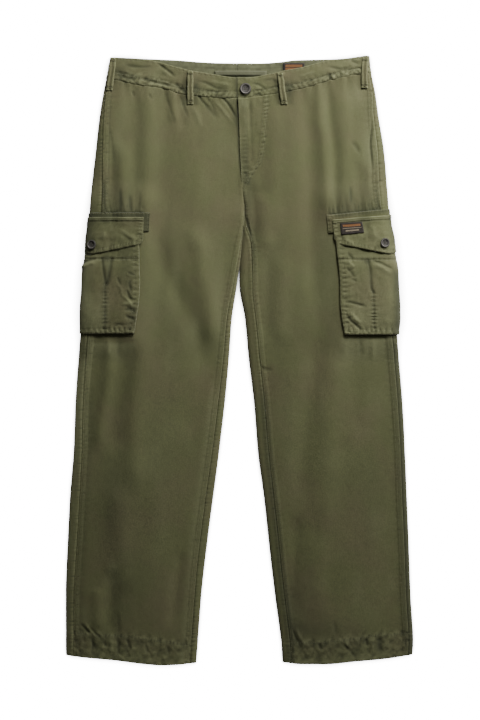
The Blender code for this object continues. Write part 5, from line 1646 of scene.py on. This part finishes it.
class CARGO_OT_finishes(bpy.types.Operator):
    """Make the finishes of the cloth, thread, labels and buttons"""
    bl_idname = "cargo.finishes"
    bl_label = "Finishes"

    def execute(self, context):
        tints = colours_now()
        group = washed_cotton_group()
        cotton_material("washed cotton", group, tints.olive, tints.cast, tints.faded_and_painted_light, tints.dark_dye_and_painted_shade)
        # paler and dimmer tones of the inner cotton, for its painted light and painted shade
        pale = [min(1.0, 1.25 * c) for c in tints.inside[:3]] + [1]
        dim = [0.6 * c for c in tints.inside[:3]] + [1]
        cotton_material("cotton inside", group, tints.inside, tints.inside, pale, dim)
        cotton_material("hanger tape", group, tints.tape, tints.tape, pale, dim)
        cotton_material("zip tape", group, tints.zip_tape, tints.zip_tape, tints.zip_tape, tints.zip_tape)
        thread_material("sewing thread", tints.thread)
        thread_material("button thread", tints.dark_dye_and_painted_shade)
        label_material("flap label", tints.label, ((4, 35, -7.2, -3.4, tints.bar),
                                                   (3, 36, -10.4, -9.4, tints.pale_bar),
                                                   (8, 31, -15.2, -13.2, tints.pale_bar)))
        label_material("waist label", tints.label, ((4, 34, -7.4, -3.0, tints.bar),
                                                    (4, 34, -12.8, -8.6, tints.bar)))
        button_material("grey button", tints.button, tints.button_rim_and_highlight)
        return {"FINISHED"}


# ---- operators for the pieces ----

class CARGO_OT_fronts(bpy.types.Operator):
    """Make both front panels with their folds, hems and seams"""
    bl_idname = "cargo.fronts"
    bl_label = "Front panels"

    def execute(self, context):
        shares = spread(1.2, 2.5, 250, 14)
        for side in SIDES:
            arc, down = panel_grid(side, front_arc(side), shares)
            lay_patch("front", side, arc, down, front_relief, sizes_now().wall)
        return {"FINISHED"}


class CARGO_OT_backs(bpy.types.Operator):
    """Make both back panels, which turn round the sides to the front"""
    bl_idname = "cargo.backs"
    bl_label = "Back panels"

    def execute(self, context):
        shares = np.concatenate([np.linspace(0, 0.12, 4)[:-1], np.linspace(0.12, 1, 17)[:-1],
                                 1 + np.linspace(0, 1, 24)[:-1], 2 + np.linspace(0, 0.9, 15)[:-1],
                                 2.9 + np.linspace(0, 0.1, 4)])
        for side in SIDES:
            arc, down = panel_grid(side, back_arc(side), shares)
            lay_patch("back", side, arc, down, back_relief, sizes_now().wall)
        return {"FINISHED"}


def band_arc(side):
    """Share 0 to 1 goes from the centre front to the side fold, 1 to 2 on to the centre back."""
    def at(down, share):
        front = inner_arc(side, down, True)
        end = inner_arc(side, down, False)
        share = np.asarray(share, float)
        return np.where(share < 1, front * (1 - share), end * (share - 1))
    return at


class CARGO_OT_waistband(bpy.types.Operator):
    """Make both halves of the waistband"""
    bl_idname = "cargo.waistband"
    bl_label = "Waistband"

    def execute(self, context):
        shares = np.concatenate([np.linspace(0, 1, 131)[:-1], 1 + np.linspace(0, 1, 81)])
        rows = spread(1.0, 1.7, 38, 5)
        for side in SIDES:
            at = band_arc(side)
            rim = edge_down(side, lambda d: at(d, shares), FRONT_RIM, BACK_RIM, len(shares))
            seam = edge_down(side, lambda d: at(d, shares), FRONT_WAIST_SEAM, BACK_WAIST_SEAM, len(shares))
            down = rim + (seam - rim) * rows[:, None]
            arc = np.stack([at(down[:, i], shares[i]) for i in range(len(shares))], axis=1)
            lay_patch("waistband", side, arc, down, band_relief, sizes_now().band)
        return {"FINISHED"}


class CARGO_OT_pockets(bpy.types.Operator):
    """Make the cargo pockets, their flaps and the strips behind the flaps"""
    bl_idname = "cargo.pockets"
    bl_label = "Cargo pockets"

    def execute(self, context):
        columns = np.concatenate([np.linspace(0, 0.02, 8)[:-1], np.linspace(0.02, 0.56, 64)[:-1],
                                  np.linspace(0.56, 1, 34)])
        for side in SIDES:
            sizes = CARGO[side]
            top, bottom = sizes["pocket_top"], sizes["pocket_bottom"]
            down = np.repeat((top + (bottom - top) * spread(0.5, 1.7, 172, 8))[:, None], len(columns), axis=1)
            lay_patch("cargo_pocket", side, over_pocket(side, down, 0, columns), down, pocket_relief,
                      sizes_now().wall * POCKET_SHARE)
            for part, edges, rows, relief, thickness, rests_on in (
                    ("flap", flap_edges, 42, flap_relief, FLAP_CLOTH, "cargo_pocket"),
                    ("stay", stay_edges, 22, stay_relief, STAY_CLOTH, "front")):
                beyond = sizes[part + "_beyond"]
                level = np.full(len(columns), sizes["pocket_top"])
                top, bottom = edges(side, over_pocket(side, level, beyond, columns))
                down = top + (bottom - top) * np.linspace(0, 1, rows)[:, None]
                arc = over_pocket(side, down, beyond, columns)
                lay_patch("cargo_" + part, side, arc, down, relief, thickness)
        return {"FINISHED"}


def strap_piece(name, points_at, length, seed):
    """A belt loop. points_at(across, share, extra) gives a point at its height over the plain strap."""
    across = np.linspace(-0.5, 0.5, 13)[None, :]
    share = spread(0.8, 1.6, length, 8)[:, None]
    across, share = np.broadcast_arrays(across, share)
    edge = (0.5 - np.abs(across)) * LOOP_WIDTH
    at, left = share * length, (1 - share) * length
    wave = beads(at, 6.0, seed)
    middle = bell(across * LOOP_WIDTH - 1.3 * soft_noise(at / 11, 0.5, seed + 3), 1.7)
    swing = 0.25 * soft_noise(at / 9, 0.5, seed + 2)
    extra = (-0.5 * bell(edge, 0.7) + 0.35 * bell(edge - 2.2, 1.3) - 0.42 * middle
             + 0.3 * wave * bell(edge - 1.8, 2.0) + swing
             - 0.45 * (bell(at - 5.0, 1.3) + bell(left - 5.0, 1.3)))
    uneven = across + 0.045 * soft_noise(at / 7, across * 1.5, seed + 5)
    points = points_at(uneven, share, extra)
    step = points_at(uneven, share, extra + 1.0) - points
    # painted: pale edges, ends and crests of the gathers, as wear and painted light; painted shade in the
    # middle groove, in the gathers' dips and at the tucked ends
    worn_and_painted_light = (0.38 * bell(edge - 2.0, 1.3) + 0.45 * crest(wave) * bell(edge - 1.8, 2.0)
            + 0.35 * (bell(at, 3.0) + bell(left, 3.0)) + 0.3 * bell(edge, 0.8))
    dark_dye_and_painted_shade = (0.38 * middle + 0.6 * dip(wave) * bell(edge - 1.8, 2.0)
            + 0.9 * (bell(at - 5.0, 1.4) + bell(left - 5.0, 1.4)))
    flat_places = np.stack([across * LOOP_WIDTH, -at], axis=-1)
    thing = cloth_piece(name + "_cloth", points, step, flat_places, worn_and_painted_light, dark_dye_and_painted_shade, LOOP_CLOTH, LINED[:1])
    settle(thing, [name])
    for offset in (-0.33, 0.33):
        PATHS["waist"].append(points_at(np.full(24, offset), np.linspace(0.04, 0.96, 24), np.full(24, -0.1)))
    for end in (0.07, 0.93):
        zigzag = np.where(np.arange(16) % 2 == 0, -0.02, 0.02)
        PATHS["tacks"].append(points_at(np.linspace(-0.4, 0.4, 16), end + zigzag, np.full(16, 0.1)))


def loop_away(share):
    arch = eased(share / LOOP_RISE) * eased((1 - share) / LOOP_RISE)
    return LOOP_LIFT + ON_CURVE + LOOP_ARCH * arch


class CARGO_OT_loops(bpy.types.Operator):
    """Make the belt loops"""
    bl_idname = "cargo.loops"
    bl_label = "Belt loops"

    def execute(self, context):
        for side in SIDES:
            (x0, d0), (x1, d1) = FRONT_LOOPS[side]

            def front_at(across, share, extra):
                x = x0 + (x1 - x0) * share + across * LOOP_WIDTH
                return place(x, d0 + (d1 - d0) * share, loop_away(share) + extra)

            strap_piece("belt_loop_front_" + side, front_at, math.hypot(x1 - x0, d1 - d0), 140)
            (a0, s0), (a1, s1) = SIDE_LOOPS[side]

            def side_at(across, share, extra):
                arc = a0 + (a1 - a0) * share - across * LOOP_WIDTH
                return off_ring(side, arc, s0 + (s1 - s0) * share, loop_away(share) + extra)

            strap_piece("belt_loop_side_" + side, side_at, math.hypot(a1 - a0, s1 - s0), 143)

        def back_at(across, share, extra):
            down = BACK_LOOP[0] + (BACK_LOOP[1] - BACK_LOOP[0]) * share
            x = BACK_LOOP_X + across * LOOP_WIDTH
            return place(x, down, LOOP_LIFT + np.minimum(extra, 0), front=False)

        strap_piece("belt_loop_back", back_at, BACK_LOOP[1] - BACK_LOOP[0], 146)
        return {"FINISHED"}


def plain_strip(name, nodes, corners, away, front, thickness, finish):
    """A flat strip inside the pants. corners: its range of x and its range down."""
    (left, right), (top, bottom) = corners
    width, length = right - left, bottom - top
    x, down = np.meshgrid(np.linspace(left, right, max(4, int(width / 2.5))),
                          np.linspace(top, bottom, max(4, int(length / 2.5))))
    points = place(x, down, away, front)
    outward = np.zeros_like(points)
    outward[..., 2] = 1.0
    flat_places = np.stack([x - left, top - down], axis=-1)
    worn_and_painted_light = 0.5 * bell(np.minimum(x - left, right - x), 1.2)
    thing = cloth_piece(name, points, outward, flat_places, worn_and_painted_light, np.zeros_like(worn_and_painted_light), thickness, (finish,))
    settle(thing, nodes)
    # a sheet's cut is given as at least 10 mm long
    max(length, 10.0) * MM


class CARGO_OT_fly(bpy.types.Operator):
    """Make the shield under the fly and the zip on it"""
    bl_idname = "cargo.fly"
    bl_label = "Fly"

    def execute(self, context):
        plain_strip("fly_shield_cloth", ["fly_shield"], FLY_SHIELD, SHIELD_AWAY, True, TAPE, LINED[0])
        plain_strip("zip_tape_cloth", [], ZIP_TAPE, ZIP_TAPE_AWAY, True, ZIP_TAPE_CLOTH, "zip tape")
        return {"FINISHED"}


class CARGO_OT_labels(bpy.types.Operator):
    """Make the hanger tape and the woven labels, which carry plain bars"""
    bl_idname = "cargo.labels"
    bl_label = "Tape and labels"

    def execute(self, context):
        for name, corners, finish, slot in (("hanger_tape", HANGER_TAPE, "hanger tape", "tape"),
                                            ("label_waist", WAIST_LABEL, "waist label", "woven_label")):
            plain_strip(name + "_cloth", [name], corners, -BAND_INSIDE - 0.8, False, TAPE, finish)
        corners = np.array(FLAP_LABEL, float)
        u, v = np.meshgrid(np.linspace(0, 1, 20), np.linspace(0, 1, 12))
        u3, v3 = u[..., None], v[..., None]
        upper = corners[0] * (1 - u3) + corners[1] * u3
        lower = corners[3] * (1 - u3) + corners[2] * u3
        x, down = np.moveaxis(upper * (1 - v3) + lower * v3, -1, 0)
        arc = arc_of_x("left", x, down)
        points = place(x, down, flap_away("left", arc, down) + SEAM_GAP + ON_CURVE + 0.8)
        width, height = FLAP_LABEL_CUT
        flat_places = np.stack([u * width, -v * height], axis=-1)
        edge = np.minimum(np.minimum(u, 1 - u) * width, np.minimum(v, 1 - v) * height)
        label = cloth_piece("label_flap_cloth", points, normals("left", arc, down), flat_places,
                            bell(edge, 1.0), np.zeros_like(u), TAPE, ("flap label",))
        settle(label, ["label_flap"])
        return {"FINISHED"}


def button_piece(name, node_name, centre, normal, sizes):
    """Turned button with a raised rim and four holes. Returns the paths of its thread."""
    radius, height = sizes["diameter"] / 2 * MM, sizes["height"] * MM
    shape = bmesh.new()
    profile = [shape.verts.new((r * radius, 0, h * height)) for r, h in BUTTON_PROFILE]
    edges = [shape.edges.new(pair) for pair in zip(profile, profile[1:])]
    bmesh.ops.spin(shape, geom=profile + edges, cent=(0, 0, 0), axis=(0, 0, 1), angle=2 * math.pi, steps=48,
                   use_merge=True)
    bmesh.ops.remove_doubles(shape, verts=shape.verts, dist=1e-6)
    bmesh.ops.recalc_face_normals(shape, faces=shape.faces)
    cutter = bmesh.new()
    reach = HOLE_PLACE * radius
    for quadrant in range(4):
        angle = math.pi / 4 + quadrant * math.pi / 2
        at = Matrix.Translation((reach * math.cos(angle), reach * math.sin(angle), height / 2))
        bmesh.ops.create_cone(cutter, cap_ends=True, segments=20, radius1=HOLE_WIDTH / 2 * MM,
                              radius2=HOLE_WIDTH / 2 * MM, depth=2 * height, matrix=at)
    blank, tool = (mesh_object(name + part, built) for part, built in (("_blank", shape), ("_holes", cutter)))
    holed = blank.modifiers.new("holes", "BOOLEAN")
    holed.object = tool
    made = plain_mesh(name, blank, tool)
    places = np.zeros(len(made.vertices) * 3)
    made.vertices.foreach_get("co", places)
    x, y, z = places.reshape(-1, 3).T
    out = np.hypot(x, y) / radius
    # the rim's top and the middle: wear, and painted light on the faces that turn up
    worn_and_painted_light = bell(out - 0.79, 0.085) * (z > 0.5 * height) + 0.5 * bell(out - 0.2, 0.24)
    attribute = made.attributes.new("worn_and_painted_light", "FLOAT", "POINT")
    attribute.data.foreach_set("value", worn_and_painted_light.astype(np.float32))
    upright = Vector((0, 0, 1)).rotation_difference(Vector(normal)).to_matrix().to_4x4()
    where = Matrix.Translation(Vector(centre) * MM) @ upright
    made.transform(where)
    made.materials.clear()
    made.materials.append(material_called("grey button"))
    made.shade_smooth()
    thing = new_object(name, made)
    bevel = thing.modifiers.new("soft edges", "BEVEL")
    bevel.width = 0.0001
    bevel.segments = 1
    bevel.limit_method = "ANGLE"
    settle(thing, [node_name])
    along = np.linspace(-1, 1, 9)
    threads = []
    for sign in (-1, 1):
        flat = np.stack([reach * 0.72 * along, np.full(9, sign * reach * 0.72),
                         height * 0.62 + 0.00035 * (1 - along ** 2)], axis=-1)
        threads.append([list(where @ Vector(p) / MM) for p in flat])
    return threads


def mesh_object(name, built):
    mesh = bpy.data.meshes.new(name)
    built.to_mesh(mesh)
    built.free()
    return new_object(name, mesh)


class CARGO_OT_buttons(bpy.types.Operator):
    """Make the buttons and sew them on"""
    bl_idname = "cargo.buttons"
    bl_label = "Buttons"

    def execute(self, context):
        x, down = WAIST_BUTTON["place"]
        centre = place(x, down, SEAM_GAP + ON_CURVE)
        normal = place(x, down, 1.0) - place(x, down, 0.0)
        threads = button_piece("waist_button", "button_waist", centre, normal, WAIST_BUTTON)
        for side in SIDES:
            arc, down = CARGO[side]["button"]
            centre = off_ring(side, arc, down, np.asarray(FLAP_MOST + SEAM_GAP))
            normal = normals(side, np.asarray(arc), np.asarray(down))
            threads += button_piece("cargo_button_" + side, "button_cargo_" + side, centre, normal,
                                    CARGO_BUTTON)
        thread_piece("button_threads", threads, "button thread", **BUTTON_THREAD)
        return {"FINISHED"}


def lay_leg_rows():
    """Rows of sewing on the legs, the fly and the hems."""
    for side in SIDES:
        down = np.arange(60.0, 1064.0, 1.6)
        pocket = CARGO[side]
        covered = (down >= pocket["stay_top"][1] - 1) & (down <= pocket["pocket_bottom"] + 1)
        above, _under, below = np.split(down, np.flatnonzero(np.diff(covered)) + 1)
        for run in (above, below):
            for inset in TWIN_ROWS:
                sewn("legs", side, outseam_arc(side, run) + inset, run, front_relief)
        down = np.arange(CROTCH + 8, 1074.0, 1.6)
        for inset in TWIN_ROWS:
            sewn("legs", side, inner_arc(side, down, True) - inset, down, front_relief)
        for at, share, relief, lift in ((front_arc(side), np.linspace(0.0, 1.0, 150), front_relief, 0.12),
                                        (back_arc(side), np.linspace(0.0, 3.0, 230), back_relief, 0.0)):
            end = np.full(share.shape, 1040.0)
            for _ in range(4):
                arc = at(end, share)
                end = smooth_curve(HEM_LINE, ring(side, arc, end)[..., 0])
            sewn("legs", side, arc, end, relief, lift)
    down = np.arange(CENTRE_FELL[0] - 18, CROTCH, 1.6)
    for inset in TWIN_ROWS:
        sewn("legs", "left", inner_arc("left", down, True) - inset, down, front_relief)
    down = np.arange(78.0, 226.0, 1.6)
    width = smooth_curve(FLY_FACING, down)
    for inset in (2.0, 7.5):
        sewn("legs", "left", inner_arc("left", down, True) - (width - inset), down, front_relief)
    sewn("legs", "left", inner_arc("left", down, True) - 2.0, down, front_relief)


def lay_band_rows():
    """Rows of sewing on the waistband."""
    for side in SIDES:
        share = np.linspace(0.004, 1.996, 420)
        for from_rim, from_seam in ((3.0, None), (None, 2.6), (None, 12.5)):
            down = np.full(share.shape, 40.0)
            for _ in range(5):
                arc = band_arc(side)(down, share)
                x = ring(side, arc, down)[..., 0]
                rim, seam = band_edges(arc, x)
                down = rim + from_rim if from_rim else seam - from_seam
            sewn("waist", side, arc, down, band_relief)


def lay_level_row(side, level, inset, count):
    """A level row of sewing across a cargo pocket."""
    down = np.full(count, level)
    sewn("pockets", side, over_pocket(side, down, -inset, np.linspace(0, 1, count)), down, pocket_relief)


def lay_pocket_rows():
    """Rows of sewing round the cargo pockets, their flaps and stays, and the bar tacks."""
    for side in SIDES:
        sizes = CARGO[side]
        bottom, band_seam, beyond = sizes["pocket_bottom"], sizes["band_seam"], sizes["flap_beyond"]
        for inset in (1.8, 9.0):
            down = np.arange(sizes["flap_corner"] - 8, bottom - inset, 1.6)
            for edge in (0, 1):
                sewn("pockets", side, over_pocket(side, down, -inset, edge), down, pocket_relief)
            lay_level_row(side, bottom - inset, inset, 130)
        for level in (band_seam - 2.5, band_seam + 2.5):
            lay_level_row(side, level, 2, 110)
        down = np.arange(sizes["pleat_open"][1], bottom - 10, 1.6)
        for offset in (-1.8, 1.8):
            arc = arc_of_x(side, smooth_curve(sizes["pleat"], down) + offset, down)
            sewn("pockets", side, arc, down, pocket_relief)
        share = np.linspace(0.01, 0.99, 140)
        level = np.full(share.shape, sizes["pocket_top"])
        top, point = flap_edges(side, over_pocket(side, level, beyond - 0.5, share))
        for down in (top + 5.4, point - 6.5, point - 2.0):
            sewn("flaps", side, over_pocket(side, down, beyond, share), down, flap_relief)
        for inset in (2.0, 6.5):
            down = np.arange(sizes["flap_top"][0] + 2, sizes["flap_corner"] - 9, 1.6)
            for edge in (0, 1):
                sewn("flaps", side, over_pocket(side, down, beyond - inset, edge), down, flap_relief)
        stay_top, stay_beyond = sizes["stay_top"][0], sizes["stay_beyond"]
        base = over_pocket(side, level[:1], stay_beyond - 2, np.linspace(0, 1, 120))
        sewn("flaps", side, base, stay_edges(side, base)[0] + 2.4, stay_relief)
        down = np.arange(stay_top + 2.4, stay_top + sizes["stay_depth"] - 2, 1.6)
        sewn("flaps", side, over_pocket(side, down, stay_beyond - 2.4, 0), down, stay_relief)
        level = sizes["flap_top"][0] + 3.0
        tack(side, float(pocket_arc(side, level)) + beyond - 2.0, level, 8.0, 1.8, flap_relief)
        corner = bottom - 3.0
        tack(side, float(pocket_arc(side, corner)) - 5.0, corner, 8.0, 1.6, pocket_relief, along=False)
        for down in MOUTH:
            tack(side, float(outseam_arc(side, down)) + 4.5, down, 9.0, 1.8, front_relief, along=False)
    tack("left", float(inner_arc("left", 210.0, True)) - 12.0, 208.0, 8.0, 1.8, front_relief)
    tack("left", float(inner_arc("left", 228.0, True)) - 5.0, 230.0, 9.0, 1.8, front_relief, along=False)


class CARGO_OT_sewing(bpy.types.Operator):
    """Sew the rows of stitches and the bar tacks"""
    bl_idname = "cargo.sewing"
    bl_label = "Sewing"

    def execute(self, context):
        sizes = sizes_now()
        lay_leg_rows()
        lay_band_rows()
        lay_pocket_rows()
        for seed, group in enumerate(("legs", "waist", "pockets", "flaps")):
            thread_piece("sewing_" + group, PATHS[group], "sewing thread", sizes.stitch, sizes.stitch_gap,
                         sizes.thread, seed)
        thread_piece("sewing_tacks", PATHS["tacks"], "sewing thread", **TACK_THREAD)
        return {"FINISHED"}


class CARGO_OT_stage(bpy.types.Operator):
    """Set the floor, the soft lights and the camera straight above"""
    bl_idname = "cargo.stage"
    bl_label = "Stage"

    def execute(self, context):
        mesh = bpy.data.meshes.new("floor")
        corners = [(x, y, FLOOR_LEVEL) for x, y in ((-4, -4), (4, -4), (4, 4), (-4, 4))]
        mesh.from_pydata(corners, [], [(0, 1, 2, 3)])
        floor = new_object("floor", mesh)
        tree, shader = new_material("floor", 0.9)
        shader.inputs["Base Color"].default_value = (0.9, 0.9, 0.9, 1)
        shader.inputs["Emission Color"].default_value = (1, 1, 1, 1)
        # a contact shadow: the floor glows for the camera, less beside what lies on it
        open_air = node(tree, "ShaderNodeAmbientOcclusion", {"Distance": 0.03}, samples=12)
        light = maths(tree, "MULTIPLY", maths(tree, "POWER", open_air.outputs["AO"], 2.4), FLOOR_GLOW)
        light = maths(tree, "MULTIPLY", light, node(tree, "ShaderNodeLightPath").outputs["Is Camera Ray"])
        link(light, shader.inputs["Emission Strength"])
        mesh.materials.append(material_called("floor"))
        world = bpy.data.worlds.new("studio")
        world.use_nodes = True
        background = world.node_tree.nodes["Background"]
        background.inputs["Color"].default_value = (1, 1, 1, 1)
        background.inputs["Strength"].default_value = WORLD_LIGHT
        bpy.context.scene.world = world
        for name, place_at, target, size, power in LAMPS:
            light = bpy.data.lights.new(name, "AREA")
            light.shape = "SQUARE"
            light.size = size
            light.energy = power
            lamp = new_object(name, light)
            lamp.location = place_at
            lamp.rotation_mode = "QUATERNION"
            lamp.rotation_quaternion = (Vector(target) - Vector(place_at)).to_track_quat("-Z", "Y")
        camera = bpy.data.cameras.new("camera")
        camera.lens = CAMERA_LENS
        camera.sensor_width = 36.0
        camera.clip_end = 20.0
        eye = new_object("camera", camera)
        eye.location = CAMERA_PLACE
        bpy.context.scene.camera = eye
        return {"FINISHED"}


class CARGO_PT_panel(bpy.types.Panel):
    """Lists the pieces and their sizes and colours"""
    bl_idname = "CARGO_PT_panel"
    bl_label = "Cargo Pants"
    bl_space_type = "VIEW_3D"
    bl_region_type = "UI"
    bl_category = "Cargo Pants"

    def draw(self, context):
        layout = self.layout
        for title, group in (("Sizes", context.scene.cargo_sizes), ("Colours", context.scene.cargo_colours)):
            box = layout.box()
            box.label(text=title)
            for key in group.__annotations__:
                box.prop(group, key)
        for operator in OPERATORS:
            layout.operator(operator.bl_idname)


# in the order in which main() calls them
OPERATORS = (CARGO_OT_stage, CARGO_OT_finishes, CARGO_OT_backs, CARGO_OT_fronts, CARGO_OT_waistband,
             CARGO_OT_pockets, CARGO_OT_loops, CARGO_OT_fly, CARGO_OT_labels, CARGO_OT_buttons,
             CARGO_OT_sewing)
CLASSES = (CARGO_PG_sizes, CARGO_PG_colours) + OPERATORS + (CARGO_PT_panel,)


def register():
    for found in CLASSES:
        bpy.utils.register_class(found)
    bpy.types.Scene.cargo_sizes = bpy.props.PointerProperty(type=CARGO_PG_sizes)
    bpy.types.Scene.cargo_colours = bpy.props.PointerProperty(type=CARGO_PG_colours)


def unregister():
    del bpy.types.Scene.cargo_colours
    del bpy.types.Scene.cargo_sizes
    for found in reversed(CLASSES):
        bpy.utils.unregister_class(found)


def main():
    register()
    stitch_tree()
    for operator in OPERATORS:
        getattr(bpy.ops.cargo, operator.bl_idname.split(".")[1])()


if __name__ == "__main__":
    main()
